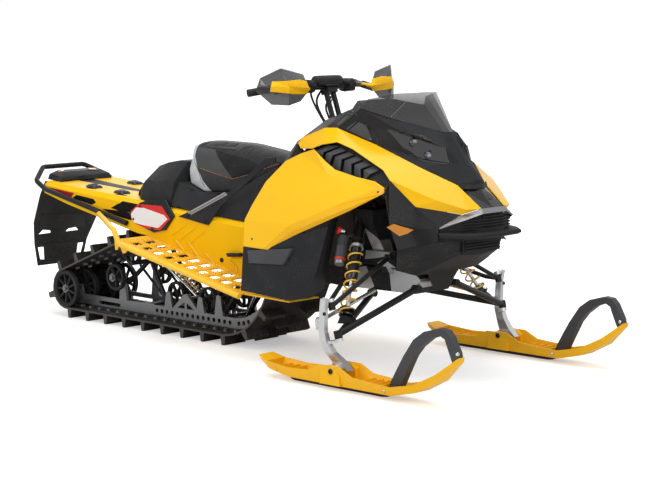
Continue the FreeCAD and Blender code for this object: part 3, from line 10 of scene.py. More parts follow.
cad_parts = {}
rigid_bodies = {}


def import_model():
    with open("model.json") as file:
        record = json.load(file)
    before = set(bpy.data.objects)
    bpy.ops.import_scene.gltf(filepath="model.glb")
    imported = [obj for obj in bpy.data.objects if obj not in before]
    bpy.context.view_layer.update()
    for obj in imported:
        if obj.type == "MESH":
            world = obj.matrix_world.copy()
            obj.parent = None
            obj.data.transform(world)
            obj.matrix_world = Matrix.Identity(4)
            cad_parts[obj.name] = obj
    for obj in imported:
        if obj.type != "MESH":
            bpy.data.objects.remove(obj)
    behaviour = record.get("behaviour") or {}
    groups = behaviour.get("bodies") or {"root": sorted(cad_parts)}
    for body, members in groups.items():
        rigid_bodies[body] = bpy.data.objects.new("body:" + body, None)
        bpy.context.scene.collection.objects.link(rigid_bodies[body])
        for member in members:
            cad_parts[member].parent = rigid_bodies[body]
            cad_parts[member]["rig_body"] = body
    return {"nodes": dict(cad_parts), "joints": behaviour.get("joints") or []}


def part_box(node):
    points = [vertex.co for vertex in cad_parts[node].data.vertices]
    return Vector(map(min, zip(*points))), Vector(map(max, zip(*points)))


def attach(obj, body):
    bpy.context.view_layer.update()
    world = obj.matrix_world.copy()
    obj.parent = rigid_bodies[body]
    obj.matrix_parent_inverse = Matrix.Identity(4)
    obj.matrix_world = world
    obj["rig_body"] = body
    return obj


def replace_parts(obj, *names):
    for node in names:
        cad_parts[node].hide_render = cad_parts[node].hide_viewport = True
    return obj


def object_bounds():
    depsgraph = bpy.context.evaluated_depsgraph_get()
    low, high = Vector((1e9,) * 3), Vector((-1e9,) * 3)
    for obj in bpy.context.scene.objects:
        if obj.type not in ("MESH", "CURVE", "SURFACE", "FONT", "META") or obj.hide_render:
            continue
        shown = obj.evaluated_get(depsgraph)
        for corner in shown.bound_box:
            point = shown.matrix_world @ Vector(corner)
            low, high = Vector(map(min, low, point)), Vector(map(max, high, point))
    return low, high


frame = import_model()
cad_low, cad_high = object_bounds()

# Where the ski pivots are: the photograph's camera and the drawn places are measured from there
joints = {joint["name"]: joint for joint in frame["joints"]}
datum_x = joints["ski_right_pitch"]["pos_m"][0]
mm = 0.001


def place(x, y, z):
    """A point in metres from millimetres ahead of the ski pivots, left of the middle and up."""
    return Vector((datum_x + x * mm, y * mm, z * mm))


def offset(x, y, z):
    """A step in metres from millimetres ahead, left and up."""
    return Vector((x * mm, y * mm, z * mm))


rightward = Vector((0.0, -1.0, 0.0))
sides_of = ((1, "right"), (-1, "left"))


# Camera
camera_spot = place(5138.1, -5813.0, 1524.4)
camera_azimuth = math.radians(44.53)
camera_elevation = math.radians(7.03)
camera_roll = math.radians(-0.40)
camera_lens = 99.04
sensor_width = 36.0
photo_width = 661
photo_height = 480
# Metres from the camera to the machine's middle, and millimetres above all of it
camera_reach = 7.7
over_all = 1500.0
camera_clip = (0.1, 100.0)


def camera_axes():
    """Which way the camera's picture runs to the right, up and into the scene."""
    flat = math.cos(camera_elevation)
    forward = Vector((-math.sin(camera_azimuth) * flat, math.cos(camera_azimuth) * flat,
                      -math.sin(camera_elevation)))
    level = Vector((math.cos(camera_azimuth), math.sin(camera_azimuth), 0.0))
    upright = level.cross(forward)
    right = level * math.cos(camera_roll) + upright * math.sin(camera_roll)
    up = upright * math.cos(camera_roll) - level * math.sin(camera_roll)
    return right, up, forward


def build_camera():
    """The photograph's own camera, from its place, direction and lens."""
    right, up, forward = camera_axes()
    data = bpy.data.cameras.new("camera")
    data.sensor_width = sensor_width
    data.lens = camera_lens
    data.clip_start, data.clip_end = camera_clip
    camera = bpy.data.objects.new("camera", data)
    bpy.context.scene.collection.objects.link(camera)
    turn = Matrix((right, up, -forward)).transposed().to_4x4()
    camera.matrix_world = Matrix.Translation(camera_spot) @ turn
    bpy.context.scene.camera = camera


def sight(px, py):
    """The direction from the camera through a point of the photograph."""
    right, up, forward = camera_axes()
    focal = camera_lens / sensor_width * photo_width
    return (forward * focal + right * (px - photo_width / 2) - up * (py - photo_height / 2)).normalized()


trees = {}


def skin_of(node):
    """The surface of a construction piece, or of a finished one, for rays."""
    if node not in trees:
        mesh = (frame["nodes"].get(node) or bpy.data.objects[node]).data
        corners = [vertex.co.copy() for vertex in mesh.vertices]
        trees[node] = BVHTree.FromPolygons(corners, [tuple(face.vertices) for face in mesh.polygons])
    return trees[node]


def seen_on(node, px, py):
    """Where a point of the photograph lies on a construction piece, and the way it faces there."""
    direction = sight(px, py)
    spot, normal, _, _ = skin_of(node).ray_cast(camera_spot, direction)
    if spot is None:
        spot, normal, _, _ = skin_of(node).find_nearest(camera_spot + direction * camera_reach)
    if normal.dot(direction) > 0:
        normal = -normal
    return spot, normal


def on_side(px, py, y):
    """Where a point of the photograph lies on an upright plane along the machine."""
    direction = sight(px, py)
    return camera_spot + direction * ((y * mm - camera_spot.y) / direction.y)


def dropped(node, x, y):
    """The first point of a construction piece straight below a place, or None."""
    return skin_of(node).ray_cast(place(x, y, over_all), Vector((0.0, 0.0, -1.0)))[0]


# Light: each lamp's name, place, size and power
lamps = (
    ("lamp_top", (0.2, -0.4, 4.2), (4.5, 3.0), 120.0),
    ("lamp_front", (4.5, -1.8, 2.6), (2.6, 2.2), 60.0),
    ("lamp_side", (-1.0, -4.6, 2.4), (3.6, 1.8), 65.0),
    ("lamp_back", (-3.6, 3.0, 2.8), (3.0, 1.6), 50.0))
world_light = 0.45
# The floor's colour, and its glow near the machine and far from it, between these distances
floor_size = 60.0
floor_pale = (0.85, 0.85, 0.85)
near_glow = 0.40
far_glow = 0.95
glow_near = 1.5
glow_far = 4.0


def build_light():
    """Soft boxes above and beside, and a world that shows white behind the machine."""
    scene = bpy.context.scene
    scene.view_settings.view_transform = "Standard"
    middle = (cad_low + cad_high) / 2
    for name, spot, size, power in lamps:
        data = bpy.data.lights.new(name, "AREA")
        data.shape = "RECTANGLE"
        data.size, data.size_y = size
        data.energy = power
        lamp = bpy.data.objects.new(name, data)
        scene.collection.objects.link(lamp)
        lamp.location = Vector(spot)
        lamp.rotation_mode = "QUATERNION"
        lamp.rotation_quaternion = (middle - lamp.location).to_track_quat("-Z", "Y")
    world = bpy.data.worlds.new("studio")
    scene.world = world
    world.use_nodes = True
    tree = world.node_tree
    tree.nodes.clear()
    path = tree.nodes.new("ShaderNodeLightPath")
    seen = Value(tree, path.outputs["Is Camera Ray"]).most(Value(tree, path.outputs["Is Glossy Ray"]))
    seen = seen.most(Value(tree, path.outputs["Is Transmission Ray"]))
    back = tree.nodes.new("ShaderNodeBackground")
    back.inputs["Color"].default_value = (1.0, 1.0, 1.0, 1.0)
    connect(tree, seen * (1.0 - world_light) + world_light, back.inputs["Strength"])
    out = tree.nodes.new("ShaderNodeOutputWorld")
    tree.links.new(back.outputs[0], out.inputs["Surface"])


def build_floor():
    """A pale floor that keeps the shadow and meets the white behind it."""
    bpy.ops.object.select_all(action="DESELECT")
    bpy.ops.mesh.primitive_plane_add(size=floor_size, location=(0.0, 0.0, 0.0))
    floor = bpy.context.object
    floor.name = "floor"
    material = bpy.data.materials.new("floor_pale")
    material.use_nodes = True
    tree = material.node_tree
    tree.nodes.clear()
    diffuse = tree.nodes.new("ShaderNodeBsdfDiffuse")
    diffuse.inputs["Color"].default_value = (*floor_pale, 1.0)
    glow = tree.nodes.new("ShaderNodeEmission")
    path = tree.nodes.new("ShaderNodeLightPath")
    place_on_floor = tree.nodes.new("ShaderNodeTexCoord")
    reach = tree.nodes.new("ShaderNodeVectorMath")
    reach.operation = "LENGTH"
    tree.links.new(place_on_floor.outputs["Object"], reach.inputs[0])
    spread = Value(tree, reach.outputs["Value"]).within(glow_near, glow_far)
    strength = Value(tree, path.outputs["Is Camera Ray"]) * (spread * (far_glow - near_glow) + near_glow)
    connect(tree, strength, glow.inputs["Strength"])
    add = tree.nodes.new("ShaderNodeAddShader")
    tree.links.new(diffuse.outputs[0], add.inputs[0])
    tree.links.new(glow.outputs[0], add.inputs[1])
    out = tree.nodes.new("ShaderNodeOutputMaterial")
    tree.links.new(add.outputs[0], out.inputs["Surface"])
    floor.data.materials.append(material)


# Shader maths
dust_colour = (0.30, 0.29, 0.27)
scratch_colour = (0.2, 0.2, 0.2)
soft_edge = 0.0006
outline_edge = 0.0007
scratch_scale = 38.0
scratch_stretch = (0.25, 1.0, 6.0)
scratch_patch_scale = 4.0


class Value:
    """A number socket, so that shader maths reads as an expression."""

    def __init__(self, tree, socket):
        self.tree = tree
        self.socket = socket

    def math(self, operation, *others, clamp=False):
        node = self.tree.nodes.new("ShaderNodeMath")
        node.operation = operation
        node.use_clamp = clamp
        for socket, value in zip(node.inputs, (self, *others)):
            connect(self.tree, value, socket)
        return Value(self.tree, node.outputs[0])

    def flipped(self, operation, other):
        node = self.tree.nodes.new("ShaderNodeMath")
        node.operation = operation
        connect(self.tree, other, node.inputs[0])
        connect(self.tree, self, node.inputs[1])
        return Value(self.tree, node.outputs[0])

    def __add__(self, other):
        return self.math("ADD", other)

    def __radd__(self, other):
        return self.math("ADD", other)

    def __sub__(self, other):
        return self.math("SUBTRACT", other)

    def __rsub__(self, other):
        return self.flipped("SUBTRACT", other)

    def __mul__(self, other):
        return self.math("MULTIPLY", other)

    def __rmul__(self, other):
        return self.math("MULTIPLY", other)

    def __abs__(self):
        return self.math("ABSOLUTE")

    def __pow__(self, other):
        return self.math("POWER", other)

    def __mod__(self, other):
        return self.math("FLOORED_MODULO", other)

    def least(self, other):
        return self.math("MINIMUM", other)

    def most(self, other):
        return self.math("MAXIMUM", other)

    def within(self, low, high):
        """0 below low, 1 above high, and even between them."""
        return ((self - low) * (1.0 / (high - low))).math("ADD", 0.0, clamp=True)

    def above(self, level, soft=soft_edge):
        """1 where the value is over the level, with a soft edge."""
        return self.within(level - soft, level + soft)

    def band(self, low, high, soft=soft_edge):
        """1 between two levels."""
        return self.above(low, soft) * (1.0 - self.above(high, soft))


def connect(tree, value, socket):
    """Links a value to a socket, or sets the socket to a number or colour."""
    if isinstance(value, Value):
        tree.links.new(value.socket, socket)
    elif isinstance(value, (tuple, list)) and len(value) == 3 and socket.type == "RGBA":
        socket.default_value = (*value, 1.0)
    else:
        socket.default_value = value


def in_metres(corner):
    """A side-view or plan corner in metres, from millimetres measured from the ski pivots."""
    return datum_x + corner[0] * mm, corner[1] * mm


def left_edge(first, second):
    """A line's unit normal on its left, in the plane it is drawn in."""
    run = math.hypot(second[0] - first[0], second[1] - first[1])
    return (first[1] - second[1]) / run, (second[0] - first[0]) / run


class Finish:
    """One material: its shader, its surface pattern and what is laid over it."""

    def __init__(self, name, colour, roughness, **sockets):
        self.material = bpy.data.materials.new(name)
        self.material.use_nodes = True
        self.tree = self.material.node_tree
        self.tree.nodes.clear()
        out = self.tree.nodes.new("ShaderNodeOutputMaterial")
        self.shader = self.tree.nodes.new("ShaderNodeBsdfPrincipled")
        self.tree.links.new(self.shader.outputs[0], out.inputs["Surface"])
        self.colour = colour
        self.roughness = roughness
        self.height = None
        for key, value in sockets.items():
            self.shader.inputs[key.replace("_", " ").title().replace("Ior", "IOR")].default_value = value
        self.at = self.node("ShaderNodeTexCoord", output="Object")
        self.x, self.y, self.z = self.parts(self.at)

    def node(self, kind, settings=None, output=0, **inputs):
        node = self.tree.nodes.new(kind)
        for key, value in (settings or {}).items():
            setattr(node, key, value)
        for key, value in inputs.items():
            socket = node.inputs[int(key[1:])] if key[0] == "i" and key[1:].isdigit() else node.inputs[key]
            connect(self.tree, value, socket)
        return Value(self.tree, node.outputs[output])

    def parts(self, vector):
        node = self.tree.nodes.new("ShaderNodeSeparateXYZ")
        connect(self.tree, vector, node.inputs[0])
        return [Value(self.tree, output) for output in node.outputs]

    def noise(self, scale, detail=3.0, stretch=None):
        """Noise from 0 to 1 on the object's own coordinates."""
        where = self.at
        if stretch:
            where = self.node("ShaderNodeMapping", Vector=self.at, Scale=stretch)
        return self.node("ShaderNodeTexNoise", Vector=where, Scale=scale, Detail=detail)

    def cells(self, scale, feature="F1"):
        return self.node("ShaderNodeTexVoronoi", {"feature": feature}, Vector=self.at, Scale=scale)

    def mix(self, mask, first, second):
        """One colour over another by a mask."""
        return self.node("ShaderNodeMix", {"data_type": "RGBA"}, output=2, i0=mask, i6=first, i7=second)

    def blend(self, mask, first, second):
        """One number over another by a mask."""
        return self.node("ShaderNodeMix", {"data_type": "FLOAT"}, output=0, i0=mask, i2=first, i3=second)

    def paint(self, mask, colour, roughness=None):
        """Lays a colour, and its gloss, over what is there."""
        self.colour = self.mix(mask, self.colour, colour)
        if roughness is not None:
            self.roughness = self.blend(mask, self.roughness, roughness)

    def dirt(self, amount=0.12, scale=9.0):
        """Faint dust and handling marks in broad patches."""
        patch = self.noise(scale, 5.0).within(0.48, 0.72)
        fine = self.noise(scale * 14, 3.0).within(0.42, 0.7)
        self.paint(patch * fine * amount, dust_colour)
        self.roughness = patch * fine * (amount * 0.6) + self.roughness

    def scuffs(self, amount, colour):
        """Short fine scratches that run mostly along the machine."""
        lines = self.noise(scratch_scale, 4.0, scratch_stretch).within(0.66, 0.72)
        spread = self.noise(scratch_patch_scale, 2.0).within(0.5, 0.7)
        self.paint(lines * spread * amount, colour)

    def relief(self, height, depth):
        """Adds a height pattern, in metres, to the surface."""
        self.height = height * depth if self.height is None else self.height + height * depth

    def inside(self, across, up, corners):
        """1 inside a convex outline in the plane of two coordinates, 0 outside."""
        middle = [sum(corner[i] for corner in corners) / len(corners) for i in (0, 1)]
        mask = None
        for (u0, v0), following in zip(corners, corners[1:] + corners[:1]):
            nu, nv = left_edge((u0, v0), following)
            if nu * (middle[0] - u0) + nv * (middle[1] - v0) < 0:
                nu, nv = -nu, -nv
            side = (across * nu + up * nv).above(nu * u0 + nv * v0, outline_edge)
            mask = side if mask is None else mask * side
        return mask

    def side_view(self, corners):
        """1 inside an outline drawn in the side view, in millimetres from the ski pivots."""
        return self.inside(self.x, self.z, [in_metres(corner) for corner in corners])

    def beyond(self, coordinate, other, line):
        """1 on the left of a straight line through two points, walking from the first."""
        nu, nv = left_edge(*line)
        u0, v0 = line[0]
        return (coordinate * nu + other * nv).above(nu * u0 + nv * v0)

    def done(self, metallic=0.0):
        if self.height is not None:
            normal = self.node("ShaderNodeBump", Height=self.height, Distance=1.0, Strength=1.0)
            connect(self.tree, normal, self.shader.inputs["Normal"])
        connect(self.tree, self.colour, self.shader.inputs["Base Color"])
        connect(self.tree, self.roughness, self.shader.inputs["Roughness"])
        connect(self.tree, metallic, self.shader.inputs["Metallic"])
        return self.material


# Finishes
yellow = (0.86, 0.475, 0.003)
board_yellow = (0.88, 0.50, 0.030)
black = (0.006, 0.006, 0.007)
soft_black = (0.013, 0.0135, 0.015)
body_black = (0.027, 0.0275, 0.029)
panel_grey = (0.026, 0.027, 0.030)
snow_white = (0.78, 0.78, 0.79)
signal_red = (0.62, 0.022, 0.015)
flash_red = (0.34, 0.016, 0.020)
# Darker yellow laid on the side panel's lower facet as painted shade
facet_shade_yellow = (0.68, 0.33, 0.001)
bare_silver = (0.46, 0.47, 0.48)
lug_brown = (0.055, 0.048, 0.042)
belt_edge_grey = (0.085, 0.083, 0.080)
smoke_grey = (0.018, 0.018, 0.020)
# The scale of each pattern, in waves a metre, and how far flow marks and stains spread the roughness
grain_scale = 900.0
flow_scale = 5.0
flow_spread = 0.08
brush_scale = 420.0
stain_scale = 14.0
stain_spread = 0.16


def moulded(name, colour, roughness, grain=0.00003, dust=0.10, coat=0.0):
    """Moulded plastic: a fine grain, faint flow marks and a little dust."""
    finish = Finish(name, colour, roughness, coat_weight=coat, coat_roughness=0.08,
                    specular_ior_level=0.15)
    finish.relief(finish.noise(grain_scale, 2.0), grain)
    flow = finish.noise(flow_scale, 2.0)
    finish.roughness = flow * flow_spread + (roughness - flow_spread / 2)
    finish.scuffs(0.10, tuple(min(1.0, c * 1.6 + 0.05) for c in colour))
    finish.dirt(dust)
    return finish


def metal(name, colour, roughness, grain=0.00004, brushed=None):
    """Bare or plated metal with fine grain or brush lines."""
    finish = Finish(name, colour, roughness)
    finish.relief(finish.noise(brush_scale, 3.0, brushed), grain)
    stain = finish.noise(stain_scale, 4.0)
    finish.roughness = stain * stain_spread + (roughness - stain_spread / 2)
    finish.paint(stain.within(0.5, 0.8) * 0.25, tuple(c * 0.7 for c in colour))
    return finish


# What is drawn on the tunnel's side, and on its top, in millimetres
tunnel_blocks = (
    ((-2386, 664), (-2170, 648), (-2201, 623), (-2290, 636)),
    ((-2156, 640), (-2020, 628), (-1997, 613), (-2041, 598), (-2184, 622)),
    ((-1818, 617), (-1766, 645), (-1658, 638), (-1684, 614), (-1748, 601)),
    ((-1910, 565), (-1731, 550), (-1731, 540), (-1826, 555)))
stripe_pixels = (
    ((72.6, 197.8), (76.4, 194.8), (93.6, 199.0), (95.4, 203.2), (91.2, 204.8)),
    ((101.0, 204.6), (117.8, 203.6), (124.8, 199.4), (140.0, 203.4), (132.0, 212.6), (122.0, 212.0)),
    ((95.6, 204.6), (122.0, 211.0), (132.0, 212.2), (131.6, 220.4), (121.0, 217.6), (107.0, 212.0)))
stripe_y = -220
# Metres out where the tunnel's side begins, and up where its top does
tunnel_side = 0.2150
tunnel_top = 0.62
tunnel_bands = (
    ((-2415, 4), (-2349, 51), (-1938, 32), (-1873, -22), (-2224, -16)),
    ((-2120, -190), (-2058, -156), (-2136, -150)),
    ((-1885, -190), (-1785, -168), (-1900, -150)))


def tunnel_paint():
    """Yellow sheet with black blocks along its side, bands on its top and a dark red flash."""
    finish = moulded("tunnel_paint", yellow, 0.34, 0.00001, 0.06, 0.03)
    finish.shader.inputs["Specular IOR Level"].default_value = 0.05
    side = abs(finish.y).above(tunnel_side)
    for index, corners in enumerate(tunnel_blocks):
        mask = finish.side_view(corners) * side
        finish.paint(mask, flash_red if index == 0 else black, 0.45)
    for pixels in stripe_pixels:
        finish.paint(finish.side_view(side_corners(pixels, stripe_y)) * side, black, 0.45)
    for corners in tunnel_bands:
        outline = [in_metres(corner) for corner in corners]
        for sign in (1, -1):
            mask = finish.inside(finish.x, finish.y, [(x, sign * y) for x, y in outline])
            finish.paint(mask * (1.0 - side) * finish.z.above(tunnel_top), black, 0.5)
    return finish.done()


# The seat's seams in the side view: the pale rear panel, the stitched line, the middle facet and the top
rear_seam = ((-1384, 930), (-1372, 843), (-1330, 801), (-1280, 727))
stitch_line = ((-1322, 814), (-1070, 778), (-990, 798), (-808, 859))
facet_seam = ((-1250, 903), (-1069, 782))
top_seam = ((-1378, 918), (-1250, 902), (-1085, 893), (-880, 838))
seat_top = (0.018, 0.018, 0.019)
seat_middle = (0.050, 0.051, 0.053)
seat_front = (0.0075, 0.0075, 0.008)
seat_foot = (0.034, 0.0345, 0.036)
seat_rear = (0.50, 0.51, 0.52)
seat_print = (0.012, 0.012, 0.012)
# The printed diamonds, in metres
print_pitch = 0.012
print_line = 0.0014


def seat_leather():
    """Grained cover in four greys, split along the seams, with a diamond print on top."""
    finish = Finish("seat_leather", seat_top, 0.55, specular_ior_level=0.12)

    def left_of(seam, every=True):
        mask = None
        for here, there in zip(seam, seam[1:]):
            side = finish.beyond(finish.x, finish.z, (in_metres(here), in_metres(there)))
            if mask is None:
                mask = side
            elif every:
                mask = mask * side
            else:
                mask = mask.most(side)
        return mask

    front = left_of(rear_seam)
    raised = left_of(stitch_line)
    ahead = left_of(facet_seam)
    top = left_of(top_seam, every=False)
    finish.paint(raised * (1.0 - ahead) * (1.0 - top), seat_middle, 0.5)
    finish.paint(raised * ahead * (1.0 - top), seat_front, 0.6)
    finish.paint(1.0 - raised, seat_foot, 0.5)
    finish.paint(1.0 - front, seat_rear, 0.42)
    print_u = (finish.x + finish.y) % print_pitch
    print_v = (finish.x - finish.y) % print_pitch
    lines = print_u.band(0.0, print_line, 0.0004).most(print_v.band(0.0, print_line, 0.0004))
    finish.paint(lines * top * front * 0.5, seat_print)
    finish.relief(lines * top, -0.0003)
    finish.relief(finish.cells(420.0), 0.00025)
    finish.relief(finish.noise(60.0, 3.0), 0.0004)
    finish.dirt(0.10)
    return finish.done()


# The side panel's long lower facet in the photograph, painted darker as shade, and how far out it lies
lower_facet = ((290.0, 226.0), (364.0, 190.0), (384.6, 191.0), (385.0, 198.0), (268.0, 252.0), (266.0, 249.0))
lower_facet_y = -420

# Bare faces of the front casting in the side view, and in the photograph at these distances out
casting_foot = ((-125, 475), (-78, 500), (-20, 462), (72, 420), (72, 384), (-21, 345), (-108, 342))
bare_casting = (
    (-190, ((368.6, 226.0), (378.0, 236.5), (387.5, 252.0), (387.0, 256.0), (374.0, 258.5), (362.6, 259.3),
            (365.5, 238.0))),
    (-108, ((359.6, 266.6), (365.9, 265.2), (374.3, 286.4), (361.0, 293.5), (354.5, 293.8))))


def side_corners(pixels, y):
    """Photograph points on an upright plane along the machine, as side-view millimetres."""
    spots = [on_side(px, py, y) for px, py in pixels]
    return [((spot.x - datum_x) / mm, spot.z / mm) for spot in spots]


def front_casting():
    """Black frame with the bare silver casting low on each side."""
    finish = moulded("front_casting", soft_black, 0.4, 0.00006, 0.12)
    bare = finish.side_view(casting_foot)
    for y, pixels in bare_casting:
        bare = bare.most(finish.side_view(side_corners(pixels, y)))
    finish.paint(bare, bare_silver, 0.36)
    return finish.done(bare * 0.8)


# Metres up between which the windshield clears
shield_fade = (1.08, 1.19)


def smoke_shield():
    """Tinted sheet that lets more light through towards its upper edge, with a black foot."""
    finish = Finish("smoke_shield", smoke_grey, 0.05, coat_weight=0.5, coat_roughness=0.03)
    finish.scuffs(0.12, scratch_colour)
    fade = finish.z.within(*shield_fade)
    connect(finish.tree, finish.blend(fade, 0.93, 0.50), finish.shader.inputs["Alpha"])
    return finish.done()


def matt(name, colour, roughness, grain, dust, specular):
    """Dark moulding that stays dark where it is seen almost edge on."""
    finish = moulded(name, colour, roughness, grain, dust)
    finish.shader.inputs["Specular IOR Level"].default_value = specular
    return finish.done()


def side_panel_paint():
    """Yellow panel with painted shade on its long lower facet."""
    finish = moulded("side_panel_paint", yellow, 0.26, 0.0000015, 0.04, 0.12)
    # Half-strength darker yellow over the lower facet: painted shade where the facet faces away from the light
    finish.paint(finish.side_view(side_corners(lower_facet, lower_facet_y)) * 0.5, facet_shade_yellow)
    return finish.done()


# The lugs' moulded ribs and where the belt's pale edge begins, in metres
rib_pitch = 0.016
rib_span = (0.004, 0.010)
rib_soft = 0.0012
rib_height = 0.0012
belt_edge = 0.2015


def track_rubber():
    """Dusty black rubber with moulded ribs across each lug and cords along the belt."""
    finish = moulded("track_rubber", (0.026, 0.023, 0.021), 0.66, 0.00012, 0.35)
    ribs = (finish.y % rib_pitch).band(*rib_span, rib_soft)
    finish.relief(ribs, rib_height)
    finish.paint(ribs * 0.25, lug_brown)
    finish.paint(abs(finish.y).above(belt_edge) * 0.8, belt_edge_grey)
    return finish.done()


# The number plate's red band and white middle, in the side view
plate_red = ((-1716, 627), (-1616, 628), (-1490, 634), (-1425, 570), (-1500, 512), (-1620, 514), (-1716, 530))
plate_white = ((-1665, 619), (-1616, 611), (-1503, 614), (-1444, 569), (-1513, 522), (-1618, 527), (-1708, 536),
               (-1716, 576))


def side_plate_paint():
    """Blank number plate: black border, red band and a white middle."""
    finish = moulded("side_plate_paint", black, 0.26, 0.00001, 0.08, 0.4)
    finish.paint(finish.side_view(plate_red), signal_red, 0.24)
    finish.paint(finish.side_view(plate_white), snow_white, 0.24)
    return finish.done()


# Plain mouldings: colour, roughness, grain in metres, dust and coat
mouldings = {
    "yellow_body": (yellow, 0.26, 0.0000015, 0.04, 0.12),
    "board_paint": (board_yellow, 0.30, 0.00002, 0.18, 0.2),
    "yellow_ski": ((0.88, 0.46, 0.010), 0.34, 0.00002, 0.12),
    "black_gloss": (black, 0.16, 0.000008, 0.05, 0.5),
    "black_grained": ((0.018, 0.018, 0.019), 0.52, 0.00007),
    "grey_moulding": ((0.055, 0.056, 0.06), 0.45, 0.00005),
    "pale_moulding": ((0.30, 0.30, 0.31), 0.42, 0.00005),
    "black_tube": ((0.014, 0.014, 0.015), 0.30, 0.00002),
    "flap_rubber": ((0.036, 0.036, 0.037), 0.5, 0.00005, 0.16),
    "lid_grey": ((0.060, 0.061, 0.063), 0.5, 0.00005, 0.06),
    "rubber": ((0.020, 0.020, 0.020), 0.68, 0.0001, 0.25),
    "stitch": ((0.62, 0.22, 0.03), 0.6, 0.00008, 0.05),
    "gold_spring": ((0.80, 0.47, 0.06), 0.28, 0.00001, 0.06, 0.4),
    "amber": ((0.52, 0.19, 0.008), 0.16, 0.00001, 0.05, 0.7),
    "red_lens": (signal_red, 0.14, 0.00001, 0.05, 0.8),
    "red_paint": (signal_red, 0.3, 0.00001, 0.05, 0.4)}
# Metals: how metallic, then colour, roughness, grain in metres and the way it is brushed
metals = {
    "silver_casting": (0.85, (0.56, 0.57, 0.58), 0.38, 0.00009),
    "bright_steel": (1.0, (0.62, 0.62, 0.62), 0.24),
    "rail_metal": (0.9, (0.19, 0.193, 0.198), 0.40, 0.00003, (1.0, 1.0, 14.0)),
    "engine_metal": (0.2, (0.020, 0.020, 0.021), 0.5),
    "lamp_glass": (0.8, (0.085, 0.09, 0.10), 0.20, 0.000005),
    "silver_paint": (0.9, (0.24, 0.24, 0.25), 0.42, 0.00003, (14.0, 1.0, 1.0))}
# Clear or smoked sheets: colour, roughness, scuffs, coat and, where light comes through, alpha
sheets = {
    "smoke": ((0.026, 0.027, 0.029), 0.06, 0.12, {"alpha": 0.80, "coat_weight": 0.6, "coat_roughness": 0.03}),
    "lens": ((0.010, 0.010, 0.012), 0.05, 0.08, {"coat_weight": 0.6, "coat_roughness": 0.02})}


def make_finishes():
    """Every finish by its name."""
    made = {name: moulded(name, *values).done() for name, values in mouldings.items()}
    for name, (metallic, *values) in metals.items():
        made[name] = metal(name, *values).done(metallic)
    for name, (colour, roughness, scuffs, sockets) in sheets.items():
        sheet = Finish(name, colour, roughness, **sockets)
        sheet.scuffs(scuffs, scratch_colour)
        made[name] = sheet.done()
    for make in (tunnel_paint, side_panel_paint, side_plate_paint, track_rubber, front_casting, smoke_shield,
                 seat_leather):
        made[make.__name__] = make()
    made["black_body"] = matt("black_body", body_black, 0.50, 0.00002, 0.07, 0.03)
    made["panel_grained"] = matt("panel_grained", panel_grey, 0.55, 0.00006, 0.10, 0.04)
    return made


# Which finish each construction piece wears
wearing = {
    "yellow_body": ["top_strips"],
    "side_panel_paint": ["side_panels"],
    "tunnel_paint": ["tunnel"],
    "board_paint": ["running_boards"],
    "side_plate_paint": ["side_plates"],
    "yellow_ski": ["ski_right", "ski_left"],
    "black_gloss": ["vents", "nose_panels", "cargo_anchors"],
    "black_body": ["hood", "knee_panels", "fuel_tank", "rear_cover", "front_bumper"],
    "black_grained": ["snow_flap", "tail_light", "grilles", "controls", "belly_pan"],
    "panel_grained": ["lower_panels", "seat_braces"],
    "grey_moulding": ["ski_loop_right", "ski_loop_left", "ski_keel_right", "ski_keel_left"],
    "black_tube": ["rear_bumper", "lower_arms", "upper_arms", "skid_arms", "steering_frame", "handlebar",
                   "steering_post", "front_shocks", "drive_axle"],
    "rubber": ["rear_wheels", "idler_wheels", "slider_shoes", "grips"],
    "track_rubber": ["track"],
    "seat_leather": ["seat"],
    "silver_casting": ["leg_right", "leg_left"],
    "front_casting": ["bulkhead"],
    "bright_steel": ["tie_rod_right", "tie_rod_left", "skid_shocks"],
    "rail_metal": ["skid_rails"],
    "gold_spring": ["front_springs", "skid_spring"],
    "engine_metal": ["engine"],
    "smoke": ["handguards"],
    "smoke_shield": ["windshield"],
    "lens": ["headlights"],
    "amber": ["side_reflectors"],
    "red_lens": ["tail_lenses"],
    "silver_paint": ["grille_trim"],
}
finish_of = {node: finish for finish, nodes in wearing.items() for node in nodes}
body_of = {node: frame["nodes"][node]["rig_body"] for node in frame["nodes"]}
finishes = make_finishes()


def dress():
    """Puts each construction piece's finish on it in place of its own."""
    for node, finish in finish_of.items():
        mesh = frame["nodes"][node].data
        mesh.materials.clear()
        mesh.materials.append(finishes[finish])


# Modelling: how close two corners are one, and how flat two faces are one
merge_reach = 0.02
flat_angle = 1.0


def alone(piece):
    """Makes one piece the only one selected, and the active one."""
    bpy.ops.object.select_all(action="DESELECT")
    piece.select_set(True)
    bpy.context.view_layer.objects.active = piece


def edit_all():
    """Opens the active piece for editing with all of it selected."""
    bpy.ops.object.mode_set(mode="EDIT")
    bpy.ops.mesh.select_all(action="SELECT")


def applied(piece, kind, **settings):
    """Adds a modifier with its settings and applies it."""
    alone(piece)
    modifier = piece.modifiers.new(kind.lower(), kind)
    for key, value in settings.items():
        setattr(modifier, key, value)
    bpy.ops.object.modifier_apply(modifier=modifier.name)


def finished(piece, name, finish, body, smooth=32.0):
    """Takes a piece's place into its mesh, and gives it its name, finish and body."""
    alone(piece)
    bpy.ops.object.transform_apply(location=True, rotation=True, scale=True)
    edit_all()
    bpy.ops.mesh.normals_make_consistent(inside=False)
    bpy.ops.object.mode_set(mode="OBJECT")
    bpy.ops.object.shade_smooth_by_angle(angle=math.radians(smooth))
    piece.name = name
    piece.data.name = name
    piece.data.materials.clear()
    piece.data.materials.append(finishes[finish])
    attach(piece, body)
    return piece


def rounded(piece, radius, sharper_than, segments=2, clamp=True):
    """Rounds a piece's sharp edges by a radius in millimetres."""
    applied(piece, "BEVEL", width=radius * mm, segments=segments, limit_method="ANGLE",
            angle_limit=math.radians(sharper_than), use_clamp_overlap=clamp)


